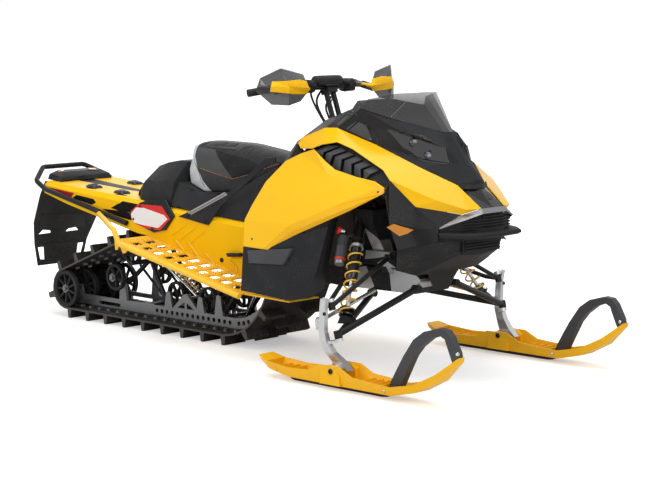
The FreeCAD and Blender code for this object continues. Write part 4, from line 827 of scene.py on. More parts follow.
def another(pattern, spot):
    """A copy of a piece with its own mesh, at a place."""
    copy = pattern.copy()
    copy.data = pattern.data.copy()
    bpy.context.scene.collection.objects.link(copy)
    copy.location = spot
    return copy


def delete(piece):
    """Takes a helper piece out of the scene."""
    alone(piece)
    bpy.ops.object.delete()


def copy_of(node, name):
    """A loose copy of a construction piece's mesh, merged into closed shells."""
    piece = bpy.data.objects.new(name, frame["nodes"][node].data.copy())
    bpy.context.scene.collection.objects.link(piece)
    alone(piece)
    edit_all()
    bpy.ops.mesh.remove_doubles(threshold=merge_reach * mm)
    bpy.ops.mesh.dissolve_limited(angle_limit=math.radians(flat_angle))
    bpy.ops.object.mode_set(mode="OBJECT")
    return piece


# The edge radius of each moulded panel, and the panels that are round all over
moulded_nodes = (
    ("controls", 12.0), ("cargo_anchors", 8.0), ("tail_light", 5.0), ("side_panels", 2.2), ("top_strips", 1.8),
    ("nose_panels", 1.4), ("hood", 2.4), ("knee_panels", 2.0), ("lower_panels", 2.0), ("belly_pan", 1.6),
    ("fuel_tank", 4.0), ("rear_cover", 5.0), ("seat_braces", 1.4), ("side_plates", 1.2), ("headlights", 1.2),
    ("windshield", 1.2), ("grille_trim", 1.2), ("front_bumper", 1.0))
round_nodes = ("fuel_tank", "rear_cover", "knee_panels", "handguards", "controls", "cargo_anchors")
panel_edge = 18.0
round_smooth = 38.0
facet_smooth = 11.0


def softened(node, radius):
    """Gives a moulded panel the small round that its edges have, in place of the plain one."""
    piece = copy_of(node, node + "_moulded")
    rounded(piece, radius, panel_edge, clamp=False)
    finished(piece, node + "_moulded", finish_of[node], body_of[node],
             round_smooth if node in round_nodes else facet_smooth)
    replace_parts(piece, node)


# Seat: how much smaller it starts, its net, what holds it and how far it may swell
seat_shrink = (0.984, 0.95, 1.0)
seat_net = 6.0
seat_hold = 9.0
seat_swell = 9.0
seat_pressure = 4.0
seat_steps = 20


def build_seat():
    """The cushion: a crowned, padded cover blown up by a cloth simulation."""
    seat = copy_of("seat", "seat_cushion")
    low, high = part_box("seat")
    edit_all()
    bpy.ops.transform.resize(value=seat_shrink, center_override=(low + high) / 2)
    bpy.ops.object.mode_set(mode="OBJECT")
    applied(seat, "REMESH", mode="VOXEL", voxel_size=seat_net * mm)
    applied(seat, "SMOOTH", factor=0.5, iterations=8)
    tank = skin_of("fuel_tank")
    start = [vertex.co.copy() for vertex in seat.data.vertices]
    held = seat.vertex_groups.new(name="held")
    carried = [i for i, spot in enumerate(start) if tank.find_nearest(spot)[3] < seat_hold * mm]
    held.add(carried, 1.0, "REPLACE")
    swell(seat, start, held, cap=seat_swell * mm)
    applied(seat, "SUBSURF", levels=1, render_levels=1)
    seat.vertex_groups.clear()
    finished(seat, "seat_cushion", "seat_leather", body_of["seat"], 60.0)
    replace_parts(seat, "seat")


def swell(piece, start, held, cap):
    """Blows a padded piece up from inside, no further than the cap, and keeps the result."""
    scene = bpy.context.scene
    alone(piece)
    cloth = piece.modifiers.new("cloth", "CLOTH")
    cloth.settings.use_pressure = True
    cloth.settings.uniform_pressure_force = seat_pressure
    cloth.settings.effector_weights.gravity = 0.0
    cloth.settings.vertex_group_mass = held.name
    cloth.point_cache.frame_start = 1
    cloth.point_cache.frame_end = seat_steps
    for step in range(1, seat_steps + 1):
        scene.frame_set(step)
    bpy.ops.object.modifier_apply(modifier="cloth")
    scene.frame_set(1)
    for vertex, before in zip(piece.data.vertices, start):
        move = vertex.co - before
        if move.length > cap:
            vertex.co = before + move.normalized() * cap


def detail(pieces, name, finish, body="chassis", pair=False, smooth=32.0):
    """Finishes a new piece, or several as one; a pair is mirrored to the machine's other side."""
    piece = joined(pieces) if isinstance(pieces, list) else pieces
    alone(piece)
    bpy.ops.object.transform_apply(location=True, rotation=True, scale=True)
    if pair:
        applied(piece, "MIRROR", use_axis=(False, True, False), use_mirror_merge=False)
    return finished(piece, name, finish, body, smooth)


def edge_line(points):
    """Draws an open line by extruding a corner from point to point."""
    bpy.ops.object.select_all(action="DESELECT")
    bpy.ops.mesh.primitive_plane_add(size=mm, location=points[0])
    piece = bpy.context.object
    bpy.ops.object.mode_set(mode="EDIT")
    bpy.ops.mesh.select_mode(type="VERT")
    bpy.ops.mesh.select_all(action="SELECT")
    bpy.ops.mesh.merge(type="CENTER")
    for here, there in zip(points, points[1:]):
        bpy.ops.mesh.extrude_region_move(TRANSFORM_OT_translate={"value": there - here})
    bpy.ops.object.mode_set(mode="OBJECT")
    return piece


def plate(points, depth, round_off=0.8, segments=2):
    """A plate whose outline runs through the points, drawn out by the depth vector."""
    piece = edge_line(points)
    edit_all()
    bpy.ops.mesh.edge_face_add()
    bpy.ops.mesh.extrude_region_move(TRANSFORM_OT_translate={"value": depth})
    bpy.ops.mesh.select_all(action="SELECT")
    bpy.ops.mesh.normals_make_consistent(inside=False)
    bpy.ops.object.mode_set(mode="OBJECT")
    if round_off:
        rounded(piece, round_off, 30.0, segments)
    return piece


def ruled(first, second, thickness, round_off=0.6):
    """A sheet bridged between two lines of points, and thickened."""
    one = edge_line(first)
    other = edge_line(second)
    alone(one)
    other.select_set(True)
    bpy.ops.object.join()
    edit_all()
    bpy.ops.mesh.bridge_edge_loops()
    bpy.ops.object.mode_set(mode="OBJECT")
    applied(one, "SOLIDIFY", thickness=thickness * mm, offset=0.0)
    if round_off:
        rounded(one, round_off, 40.0)
    return one


def turned(start, along, profile, sides=24):
    """A turned piece: a disc drawn out along its axis from station to station, in millimetres."""
    way = along.normalized()
    lie = way.to_track_quat("Z", "Y").to_euler()
    reach, radius = profile[0]
    centre = start + way * (reach * mm)
    bpy.ops.object.select_all(action="DESELECT")
    bpy.ops.mesh.primitive_circle_add(vertices=sides, radius=radius * mm, fill_type="NGON",
                                      location=centre, rotation=lie)
    piece = bpy.context.object
    bpy.ops.object.mode_set(mode="EDIT")
    bpy.ops.mesh.select_mode(type="FACE")
    bpy.ops.mesh.select_all(action="SELECT")
    for (reach0, radius0), (reach1, radius1) in zip(profile, profile[1:]):
        centre = start + way * (reach1 * mm)
        grow = radius1 / radius0
        bpy.ops.mesh.extrude_region_move(TRANSFORM_OT_translate={"value": way * ((reach1 - reach0) * mm)})
        bpy.ops.transform.resize(value=(grow, grow, grow), center_override=centre)
    bpy.ops.object.mode_set(mode="OBJECT")
    return piece


def joined(pieces):
    """Several pieces as one mesh."""
    alone(pieces[0])
    if len(pieces) > 1:
        for piece in pieces[1:]:
            piece.select_set(True)
        bpy.ops.object.join()
    return pieces[0]


def cable(points, radius, smooth=True, sides=3):
    """A round line of one radius, in millimetres, through the points."""
    data = bpy.data.curves.new("cable", "CURVE")
    data.dimensions = "3D"
    spline = data.splines.new("NURBS" if smooth else "POLY")
    spline.points.add(len(points) - 1)
    for knot, point in zip(spline.points, points):
        knot.co = (*point, 1.0)
    if smooth:
        spline.order_u = 3
        spline.use_endpoint_u = True
    data.bevel_depth = radius * mm
    data.bevel_resolution = sides
    data.use_fill_caps = True
    piece = bpy.data.objects.new("cable", data)
    bpy.context.scene.collection.objects.link(piece)
    alone(piece)
    bpy.ops.object.convert(target="MESH")
    return bpy.context.object


# Pixels between the points of a line that follows a surface
trace_step = 5.0


def traced(node, pixels):
    """Points on a construction piece along a line of photograph points."""
    points = []
    for (x0, y0), (x1, y1) in zip(pixels, pixels[1:]):
        count = max(1, round(math.hypot(x1 - x0, y1 - y0) / trace_step))
        for i in range(count):
            share = i / count
            points.append(seen_on(node, x0 + (x1 - x0) * share, y0 + (y1 - y0) * share)[0])
    points.append(seen_on(node, *pixels[-1])[0])
    return points


def lines_on(name, finish, lines, pair=True):
    """Fine ridges along lines of photograph points, half sunk in what carries them, as one piece."""
    ridges = [cable(traced(node, pixels), radius, smooth=False, sides=2) for node, radius, pixels in lines]
    detail(ridges, name, finish, pair=pair, smooth=60.0)


def badge(node, pixels, height, sink=3.0, round_off=0.8):
    """A raised plate on a construction piece, outlined by photograph points."""
    spots = [seen_on(node, px, py) for px, py in pixels]
    facing = sum((normal for _, normal in spots), Vector()).normalized()
    return plate([spot - facing * (sink * mm) for spot, _ in spots], facing * ((height + sink) * mm), round_off)


def screw(node, px, py, radius, height):
    """A screw with a sunk drive, standing on a construction piece at a photograph point."""
    return screw_at(*seen_on(node, px, py), radius, height)


def screw_at(spot, normal, radius, height):
    """A screw with a sunk drive, standing on a place."""
    profile = ((-2.0, radius), (height * 0.6, radius), (height, radius * 0.8), (height, radius * 0.5),
               (height * 0.3, radius * 0.45))
    return turned(spot, normal, profile, 12)


def coil_spring(foot, along, radius, wire, turns, length):
    """A round-wire spring: one ring section swept up a helix by a screw, then laid on its axis."""
    bpy.ops.object.select_all(action="DESELECT")
    bpy.ops.mesh.primitive_circle_add(vertices=10, radius=wire / 2 * mm, fill_type="NOTHING",
                                      location=(radius * mm, 0.0, 0.0), rotation=(math.pi / 2, 0.0, 0.0))
    piece = bpy.context.object
    bpy.ops.object.transform_apply(location=True, rotation=True, scale=True)
    applied(piece, "SCREW", angle=math.tau * turns, screw_offset=(length - wire) * mm, steps=20 * turns,
            render_steps=20 * turns, axis="Z", use_normal_calculate=True)
    edit_all()
    bpy.ops.mesh.fill_holes(sides=0)
    bpy.ops.object.mode_set(mode="OBJECT")
    way = along.normalized()
    piece.rotation_mode = "QUATERNION"
    piece.rotation_quaternion = way.to_track_quat("Z", "Y")
    piece.location = foot + way * (wire / 2 * mm)
    return piece


# Front spring legs: profiles are stations along the axis and the radius at each
shock_foot = place(-60.0, -440.0, 283.0)
shock_top = place(-187.0, -210.0, 674.0)
shock_run = (shock_top - shock_foot).length / mm
shock_way = (shock_top - shock_foot).normalized()
coil_start, coil_radius, coil_wire, coil_turns = 10.0, 29.0, 8.0, 7
collar_reach = 320.0
collar_bore = 23.0
shaft_profile = ((2.0, 8.6), (6.0, 8.8), (shock_run * 0.41, 8.8), (shock_run * 0.42, 8.2))
collars = ((collar_reach - 4.0, 30.0, 4.0), (collar_reach + 2.0, 26.0, 9.0))
collar_profiles = [((low, collar_bore), (low, radius), (low + width, radius), (low + width, collar_bore))
                   for low, radius, width in collars]
cup_profile = ((0.0, 18.0), (0.0, 32.0), (5.0, 33.0), (8.0, 31.0), (8.0, 20.0), (22.0, 17.0), (24.0, 12.0))
body_profile = ((collar_reach - 150.0, 21.0), (collar_reach - 148.0, 22.4), (collar_reach + 60.0, 23.6),
                (shock_run * 0.93, 24.6), (shock_run * 0.94, 20.0))
reservoir_top = place(-205.0, -300.0, 600.0)
reservoir_profile = (
    (-128.0, 15.0), (-128.0, 20.0), (-124.0, 22.0), (-66.0, 22.0), (-64.0, 23.2), (-58.0, 23.2), (-56.0, 22.0),
    (-34.0, 22.0), (-32.0, 24.0), (-14.0, 24.0), (-11.0, 21.0), (-2.0, 18.0), (2.0, 12.0))
cap_profile = ((-142.0, 6.0), (-142.0, 18.0), (-138.0, 21.0), (-126.0, 21.0))
ring_profile = ((-123.0, 22.0), (-122.0, 23.6), (-114.0, 23.6), (-113.0, 22.0))
knob_hub = reservoir_top + offset(-8.0, -4.0, 14.0)
knob_way = Vector((-0.5, -0.75, 0.35))
neck_profile = ((-10.0, 13.0), (6.0, 13.0), (8.0, 11.0))
knob_profile = ((7.0, 13.0), (9.0, 17.0), (18.0, 17.0), (22.0, 14.0), (24.0, 8.0))
# Each turned piece: name, finish, where its axis starts and points, sides, smoothing angle and profiles
leg_parts = (
    ("shock_shafts", "bright_steel", shock_foot, shock_way, 20, 32.0, (shaft_profile,)),
    ("shock_collars", "silver_casting", shock_foot, shock_way, 24, 32.0, collar_profiles),
    ("shock_bodies", "black_gloss", shock_foot, shock_way, 24, 40.0, (cup_profile, body_profile)),
    ("reservoirs", "grey_moulding", reservoir_top, shock_way, 24, 40.0, (reservoir_profile,)),
    ("reservoir_caps", "rail_metal", reservoir_top, shock_way, 24, 40.0, (cap_profile,)),
    ("reservoir_rings", "red_paint", reservoir_top, shock_way, 24, 32.0, (ring_profile,)),
    ("knob_collars", "silver_casting", knob_hub, knob_way, 16, 40.0, (neck_profile,)),
    ("damping_knobs", "red_paint", knob_hub, knob_way, 12, 32.0, (knob_profile,)))


def build_spring_legs():
    """Gold coils, bright shaft, silver collars, and the reservoir with its caps and red knob."""
    coil = coil_spring(shock_foot + shock_way * (coil_start * mm), shock_way, coil_radius, coil_wire,
                       coil_turns, collar_reach - 2 * coil_wire)
    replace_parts(detail(coil, "front_coils", "gold_spring", pair=True, smooth=60.0), "front_springs")
    for name, finish, start, way, sides, smooth, profiles in leg_parts:
        detail([turned(start, way, profile, sides) for profile in profiles], name, finish, pair=True,
               smooth=smooth)


# Vents
strip_low = ((-521, 242, 949), (-440, 252, 953), (-391, 254, 972), (-286, 256, 989), (-189, 262, 965),
             (9, 285, 888), (60, 300, 848))
panel_high = ((-553, 303, 898), (-475, 285, 934), (-387, 295, 956), (-313, 298, 907), (-114, 318, 854),
              (6, 333, 843), (69, 345, 822))
vent_setback = 34.0
mesh_slack = 8
mesh_drop = 60
mesh_thickness = 2.0
# The dark gaps between the vent's blades in the photograph: at the top, at the knee and at the foot
vent_gaps = (((325.5, 144.6), (314.5, 150.0), (315.5, 152.0)), ((339.6, 146.7), (324.8, 152.8), (323.2, 158.6)),
             ((347.7, 151.3), (333.9, 155.9), (330.0, 167.0)), ((355.4, 155.3), (343.1, 159.9), (341.4, 171.6)),
             ((363.5, 160.4), (352.8, 164.5), (352.6, 177.0)), ((372.2, 165.6), (362.0, 169.6), (362.2, 181.0)))
last_blade = ((381.5, 170.6), (371.8, 174.8), (366.8, 180.2))
# How far a blade's rear and front edges stand from the gaps' middles, in pixels, and above the mesh
blade_rear = (1.9, 0.7), (8.0, 20.0, 10.0)
blade_front = (-1.4, -0.5), (14.0, 30.0, 18.0)
blade_thickness = 6.0


def toward(node, px, py, lift):
    """The place on a piece at a photograph point, drawn towards the camera by some millimetres."""
    return seen_on(node, px, py)[0] - sight(px, py) * (lift * mm)


def blade_edge(gap, edge):
    """One edge of a blade along a gap, lifted off the mesh."""
    (aside, down), lifts = edge
    return [toward("vent_mesh", px + aside, py + down, lift) for (px, py), lift in zip(gap, lifts)]


def build_vents():
    """Six bowed blades across each side vent, grey in place of their glossy black as a painted highlight, with
    the dark sheet behind them.
    """
    high = [place(x, -y + vent_setback + mesh_slack, z + mesh_slack) for x, y, z in strip_low]
    low = [place(x, -y + vent_setback - mesh_slack, z - mesh_drop) for x, y, z in panel_high]
    detail(ruled(high, low, mesh_thickness), "vent_mesh", "black_grained", pair=True)
    blades = []
    for here, there in zip(vent_gaps, vent_gaps[1:] + (last_blade,)):
        blade = ruled(blade_edge(here, blade_rear), blade_edge(there, blade_front), blade_thickness, 0.0)
        rounded(blade, 1.6, 50.0)
        blades.append(blade)
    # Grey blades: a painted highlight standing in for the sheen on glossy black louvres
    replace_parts(detail(blades, "vent_blades", "grey_moulding", pair=True, smooth=30.0), "vents")


# Handguards: the yellow band's outline seen from the front, and where the right one ends in the photograph
guard_side = ((-420, 1241), (-260, 1249), (-200, 1238), (-180, 1209), (-196, 1187), (-294, 1190), (-442, 1209))
band_end = (271.0, 88.0)
band_lean = Vector((0.30, 0.0, 1.0))
band_rise = 2.2


def build_guards():
    """Smoked shells with a raised yellow band across each, cut from the shell itself."""
    softened("handguards", 1.4)
    middle = [sum(corner[i] for corner in guard_side) / len(guard_side) for i in (0, 1)]
    for sign, side in sides_of:
        band = copy_of("handguards", "band")
        bpy.ops.object.mode_set(mode="EDIT")
        for (y0, z0), (y1, z1) in zip(guard_side, guard_side[1:] + guard_side[:1]):
            out = Vector((0.0, (z1 - z0) * sign, -(y1 - y0)))
            if out.dot(Vector((0.0, (middle[0] - y0) * sign, middle[1] - z0))) > 0:
                out = -out
            bpy.ops.mesh.select_all(action="SELECT")
            bpy.ops.mesh.bisect(plane_co=(0.0, y0 * sign * mm, z0 * mm), plane_no=out.normalized(),
                                use_fill=True, clear_outer=True)
        if side == "right":
            across = sight(*band_end).cross(band_lean).normalized()
            bpy.ops.mesh.select_all(action="SELECT")
            bpy.ops.mesh.bisect(plane_co=seen_on("handguards", *band_end)[0], plane_no=across,
                                use_fill=True, clear_inner=True)
        bpy.ops.mesh.select_all(action="SELECT")
        bpy.ops.mesh.normals_make_consistent(inside=False)
        bpy.ops.transform.shrink_fatten(value=band_rise * mm)
        bpy.ops.object.mode_set(mode="OBJECT")
        rounded(band, 1.2, 30.0)
        detail(band, "guard_band_" + side, "yellow_body", "handlebar_set")


# Handlebar: places are steps from the bar's middle
bar_middle = place(-588.0, 0.0, 1208.0)
pad_end = bar_middle + offset(-6.0, -84.0, 26.0)
pad_profile = ((0.0, 17.0), (3.0, 23.0), (8.0, 26.0), (40.0, 27.0), (128.0, 27.0), (160.0, 26.0), (165.0, 23.0),
               (168.0, 17.0))
pod_profile = ((0.0, 18.0), (6.0, 27.0), (26.0, 31.0), (44.0, 28.0), (58.0, 24.0), (70.0, 17.0))
switch_profile = ((0.0, 16.0), (16.0, 15.0), (20.0, 12.0))
button_profile = ((0.0, 9.0), (10.0, 9.0), (12.0, 7.0))
lever_route = ((16.0, 150.0, 2.0), (52.0, 174.0, 0.0), (50.0, 246.0, -6.0), (24.0, 338.0, -14.0),
               (12.0, 346.0, -16.0))
lever_radius = 5.0
# Each hose: how far out it starts, how high and how far back it bows
hose_bows = ((-22.0, 6.0, 30.0), (-8.0, 0.0, 44.0), (14.0, -4.0, 36.0))
hose_radius = 5.0
throttle_route = ((-10.0, 84.0, 8.0), (-26.0, 60.0, -40.0), (-20.0, 30.0, -80.0), (10.0, 20.0, -130.0))
throttle_radius = 2.6


def build_bars():
    """Pad, levers, switch pods, hoses and throttle cable on the handlebar."""
    pad = turned(pad_end, Vector((0.0, 1.0, 0.0)), pad_profile, 28)
    detail(pad, "bar_pad", "black_grained", "handlebar_set", smooth=50.0)
    pods = []
    levers = []
    for sign, _ in sides_of:
        spot = bar_middle + offset(-12.0, sign * 96.0, 4.0)
        pods.append(turned(spot, Vector((-0.06, sign * 1.0, 0.06)), pod_profile, 16))
        pods.append(turned(spot + offset(22.0, sign * 18.0, 10.0), Vector((1.0, 0.2 * sign, 0.2)),
                           switch_profile, 14))
        pods.append(turned(spot + offset(-26.0, sign * 34.0, 16.0), Vector((-1.0, 0.1, 0.5)),
                           button_profile, 12))
        levers.append(cable([bar_middle + offset(x, sign * y, z) for x, y, z in lever_route], lever_radius))
    detail(pods, "switch_pods", "black_grained", "handlebar_set", smooth=40.0)
    detail(levers, "levers", "black_tube", "handlebar_set", smooth=50.0)
    hoses = []
    for y, rise, back in hose_bows:
        route = ((-10.0, y * 4.6, -18.0), (-back, y * 3.6, rise - 44.0), (-back - 14.0, y * 2.0, rise - 84.0),
                 (20.0 - back, y * 1.4, -140.0), (44.0 - back, y * 1.3, -168.0))
        hoses.append(cable([bar_middle + offset(*knot) for knot in route], hose_radius))
    detail(hoses, "bar_hoses", "rubber", "handlebar_set", smooth=50.0)
    thin = cable([bar_middle + offset(*knot) for knot in throttle_route], throttle_radius)
    detail(thin, "throttle_cable", "rubber", "handlebar_set", smooth=50.0)


# Lamps
lamp_high = ((-80, 165, 1049), (5, 150, 1036), (75, 120, 1024), (169, 70, 980), (187, 40, 940))
lamp_low = ((-80, 165, 1046), (-2, 155, 975), (89, 125, 926), (187, 72, 911), (190, 40, 911))
lamp_setback = 16.0
# Each projector's middle in the photograph, and its radius in millimetres
projectors = ((414.2, 142.6, 19.0), (429.0, 155.6, 18.0))
projector_lean = Vector((0.9, -0.25, 0.0))
lamp_rim = ((387.5, 130.5), (393.0, 135.0), (403.0, 141.5), (408.5, 149.0), (422.0, 160.5), (433.0, 162.8),
            (447.5, 164.0))


def build_headlights():
    """Two glass projectors in each lamp with their rims, the lamp's lower rim and its dark housing."""
    glasses, rims = [], []
    for px, py, radius in projectors:
        spot, normal = seen_on("headlights", px, py)
        ahead = (normal + projector_lean).normalized()
        glasses.append(turned(spot, ahead, ((-6.0, radius), (1.0, radius), (4.0, radius * 0.86),
                                            (6.0, radius * 0.6), (6.8, radius * 0.25)), 24))
        rims.append(turned(spot, ahead, ((-6.0, radius + 3.5), (2.4, radius + 3.5), (3.4, radius + 2.0),
                                         (0.6, radius + 0.4)), 28))
    detail(glasses, "projectors", "lamp_glass", pair=True, smooth=60.0)
    detail(rims, "projector_rims", "black_gloss", pair=True, smooth=40.0)
    lines_on("headlight_rims", "grey_moulding", (("hood", 2.4, lamp_rim),))
    high = [place(x - 6, -y + lamp_setback + 8, z + 2) for x, y, z in lamp_high]
    low = [place(x, -y + lamp_setback, z - lamp_setback) for x, y, z in lamp_low]
    detail(ruled(high, low, 2.0), "lamp_housings", "black_grained", pair=True)


# Nose
filler_tip = ((253, -90, 828), (288, -28, 825), (292, 0, 827), (288, 28, 825), (253, 90, 828))
filler_cap = ((260, -88, 808), (293, -28, 805), (297, 0, 807), (293, 28, 805), (260, 88, 808))
lip_plan = ((150, 250), (256, 207), (330, 138), (384, 66), (396, 0), (384, -66), (330, -138), (256, -207),
            (150, -250))
lip_setback, lip_top, lip_foot = 16, 652, 596
badge_middle = (489.0, 196.0)
badge_profile = ((-2.0, 21.0), (1.2, 21.0), (2.0, 20.0), (2.0, 17.0), (0.8, 16.4), (1.6, 12.0), (1.8, 6.0))


def build_nose():
    """The blank round badge on the nose cap, and the dark moulding that closes the gaps behind it."""
    tip, cap = [[place(*corner) for corner in line] for line in (filler_tip, filler_cap)]
    detail(ruled(tip, cap, 3.0, 0.0), "nose_filler", "black_grained")
    upper, lower = [[place(x - lip_setback, y, z) for x, y in lip_plan] for z in (lip_top, lip_foot)]
    detail(ruled(upper, lower, 3.0, 0.0), "lip_backing", "black_grained")
    detail(turned(*seen_on("nose_panels", *badge_middle), badge_profile, 36), "nose_badge", "black_gloss",
           smooth=30.0)


# Track: the circles that the belt runs round, as place in the side view and radius
belt_circles = ((-2286.0, 148.0, 95.0), (-1110.0, 383.0, 330.0), (-842.0, 398.0, 92.0), (-1800.0, 372.0, 62.0))
track_pitch = 72.6
clip_rows = (-146.0, -66.0, 66.0, 146.0)
clip_width = 22.0
clip_outline = ((-13, 0.0), (-13, -2.5), (-7, -3.5), (-5, -12.0), (5, -12.0), (7, -3.5), (13, -2.5), (13, 0.0))


def belt_round(circles):
    """Straight runs and arcs round the circles, as a function from distance to place and facing."""
    runs = list(zip(circles, circles[1:] + circles[:1]))
    leans = []
    for (x0, z0, r0), (x1, z1, r1) in runs:
        heading = math.atan2(z1 - z0, x1 - x0)
        leans.append(heading - math.pi / 2 + math.asin((r0 - r1) / math.hypot(x1 - x0, z1 - z0)))
    spans = []
    for i, ((x0, z0, r0), (x1, z1, r1)) in enumerate(runs):
        turn_in, turn_out = leans[i - 1], leans[i]
        while turn_out < turn_in:
            turn_out += math.tau
        spans.append((r0 * (turn_out - turn_in), (x0, z0), r0, turn_in, turn_out))
        start = (x0 + r0 * math.cos(turn_out), z0 + r0 * math.sin(turn_out))
        end = (x1 + r1 * math.cos(turn_out), z1 + r1 * math.sin(turn_out))
        spans.append((math.hypot(end[0] - start[0], end[1] - start[1]), start, end, turn_out, turn_out))

    def at(distance):
        for length, first, second, turn_in, turn_out in spans:
            if distance <= length:
                break
            distance -= length
        share = distance / length
        facing = turn_in + (turn_out - turn_in) * share
        if turn_in != turn_out:
            return (first[0] + second * math.cos(facing), first[1] + second * math.sin(facing)), facing
        return (first[0] + (second[0] - first[0]) * share, first[1] + (second[1] - first[1]) * share), facing

    return at, sum(span[0] for span in spans)


def build_track_clips():
    """Steel guide clips in rows on the belt, each a bent strap with a tooth that stands inwards."""
    at, total = belt_round(belt_circles)
    count = 2 * round(total / track_pitch / 2)
    clips = []
    outline = [offset(x, -clip_width / 2, z) for x, z in clip_outline]
    pattern = plate(outline, offset(0.0, clip_width, 0.0), 0.8, 1)
    for i in range(count):
        (x, z), facing = at((i + 0.5) * total / count)
        for y in clip_rows:
            clip = another(pattern, place(x, y, z))
            clip.rotation_euler = (0.0, -facing + math.pi / 2, 0.0)
            clips.append(clip)
    delete(pattern)
    detail(clips, "track_clips", "rail_metal", smooth=30.0)


# Console: outlines and lines in the photograph
lid_faces = (((336.2, 124.3), (347.9, 115.0), (357.4, 121.4), (347.7, 129.8)),
             ((349.0, 130.3), (359.0, 122.2), (366.0, 125.0), (371.4, 137.4), (369.0, 140.6)))
lid_lines = (("hood", 2.2, ((334.0, 124.5), (347.9, 110.6), (351.6, 110.6), (370.0, 126.0), (378.0, 140.7),
                            (375.0, 145.0))),
             ("hood", 1.4, ((335.5, 124.4), (347.9, 112.8), (367.7, 124.5), (374.3, 139.2))),
             ("hood", 1.2, ((348.0, 129.7), (358.2, 120.9))))
lid_latch = ((369.0, 137.6), (372.2, 138.0), (372.6, 141.0), (369.4, 140.6))
shield_foot = ((361.0, 108.0), (380.0, 114.8), (400.0, 122.0), (420.0, 129.6), (436.0, 135.6))


def build_console():
    """Storage lid with its double line and division, its small latch, and the shield's black foot."""
    detail([badge("hood", face, 1.6, 2.0, 0.6) for face in lid_faces], "lid_faces", "lid_grey", pair=True)
    lines_on("lid_lines", "black_gloss", lid_lines)
    detail(badge("hood", lid_latch, 2.0), "lid_latches", "black_gloss", pair=True)
    lines_on("shield_foot", "black_gloss", (("windshield", 3.0, shield_foot),))


# Side panels and nose panels
raised_plate = ((247.2, 250.6), (291.5, 248.6), (282.8, 264.9), (248.6, 263.0))
raised_plate_y = -446.0
raised_plate_depth = 24.0
nose_lines = (("nose_panels", 1.6, ((383.0, 218.8), (400.0, 221.6), (420.0, 225.0), (437.0, 227.4))),
              ("nose_panels", 1.0, ((393.0, 182.0), (411.0, 206.5))),
              ("nose_panels", 1.0, ((412.0, 208.0), (400.0, 217.0))))
belly_fold = ((409.0, 262.0), (430.0, 259.5), (446.0, 254.0), (478.0, 247.5))
panel_screws = (("hood", 388.0, 163.0, 2.0), ("nose_panels", 396.0, 212.0, 2.0),
                ("side_panels", 252.0, 239.0, 1.6), ("side_panels", 378.0, 192.0, 1.6))
panel_screw_radius = 5.0


def build_panel_details():
    """Raised plate on the lower panel, split lines on the nose and screws where panels fasten."""
    corners = [on_side(px, py, raised_plate_y) for px, py in raised_plate]
    detail(plate(corners, offset(0.0, raised_plate_depth, 0.0), 1.2), "lower_raised_plates", "grey_moulding",
           pair=True)
    lines_on("nose_lines", "black_gloss", nose_lines)
    lines_on("belly_fold", "black_grained", (("belly_pan", 2.6, belly_fold),))
    screws = [screw(node, px, py, panel_screw_radius, height) for node, px, py, height in panel_screws]
    detail(screws, "panel_screws", "black_gloss", pair=True)


# Seat seams
stitch_pitch = 6.0
stitch_profile = ((0.0, 0.5), (0.6, 0.9), (3.4, 0.9), (4.0, 0.5))
outside_y = -400.0
piping_sink = -0.6


def on_cushion(line, step, lift):
    """Points on the cushion's right flank along a line drawn in the side view."""
    cushion = skin_of("seat_cushion")
    points = []
    for (x0, z0), (x1, z1) in zip(line, line[1:]):
        count = max(1, round(math.hypot(x1 - x0, z1 - z0) / step))
        for i in range(count + 1):
            share = i / count
            start = place(x0 + (x1 - x0) * share, outside_y, z0 + (z1 - z0) * share)
            spot, normal, _, _ = cushion.ray_cast(start, Vector((0.0, 1.0, 0.0)))
            if spot is not None:
                points.append(spot + normal * (lift * mm))
    return points


def build_stitches():
    """Orange thread along the seat's seam, one short stitch after another, and the piping lines."""
    route = on_cushion(stitch_line, 3.0, 0.2)
    stitches = []
    gone = 0.0
    for here, there in zip(route, route[1:]):
        gone += (there - here).length / mm
        if gone < stitch_pitch:
            continue
        gone = 0.0
        stitches.append(turned(here, (there - here).normalized(), stitch_profile, 6))
    detail(stitches, "seat_stitches", "stitch", pair=True)
    piping = [cable(on_cushion(line, 12.0, piping_sink), radius, smooth=False)
              for line, radius in ((rear_seam, 1.8), (facet_seam, 1.4))]
    detail(piping, "seat_piping", "black_grained", pair=True, smooth=60.0)


# Tunnel
side_face = -219.6
tunnel_folds = (((-1392, 472), (-1330, 425)), ((-1302, 469), (-1227, 401)), ((-1180, 428), (-1121, 382)),
                ((-1016, 407), (-965, 381), (-969, 351)))
fold_radius = 4.5
peg_outline = ((-1019, 444), (-927, 452), (-927, 435), (-1008, 428))
peg_length = 24.0
plug_x, plug_z = -1071, 406
plug_profile = ((0.0, 11.0), (3.0, 11.0), (4.5, 9.0), (4.5, 5.0), (2.0, 4.5))
tooth_outline = ((-5.0, -1.0), (5.0, -1.0), (2.2, 6.0), (-2.2, 6.0))
tooth_thickness = 2.0
tooth_rows, tooth_first_y, tooth_row_pitch = 7, 244.0, 26.0
teeth_in_row, tooth_first_x, tooth_pitch = 56, -1560.0, 15.0
highest_board = 0.5


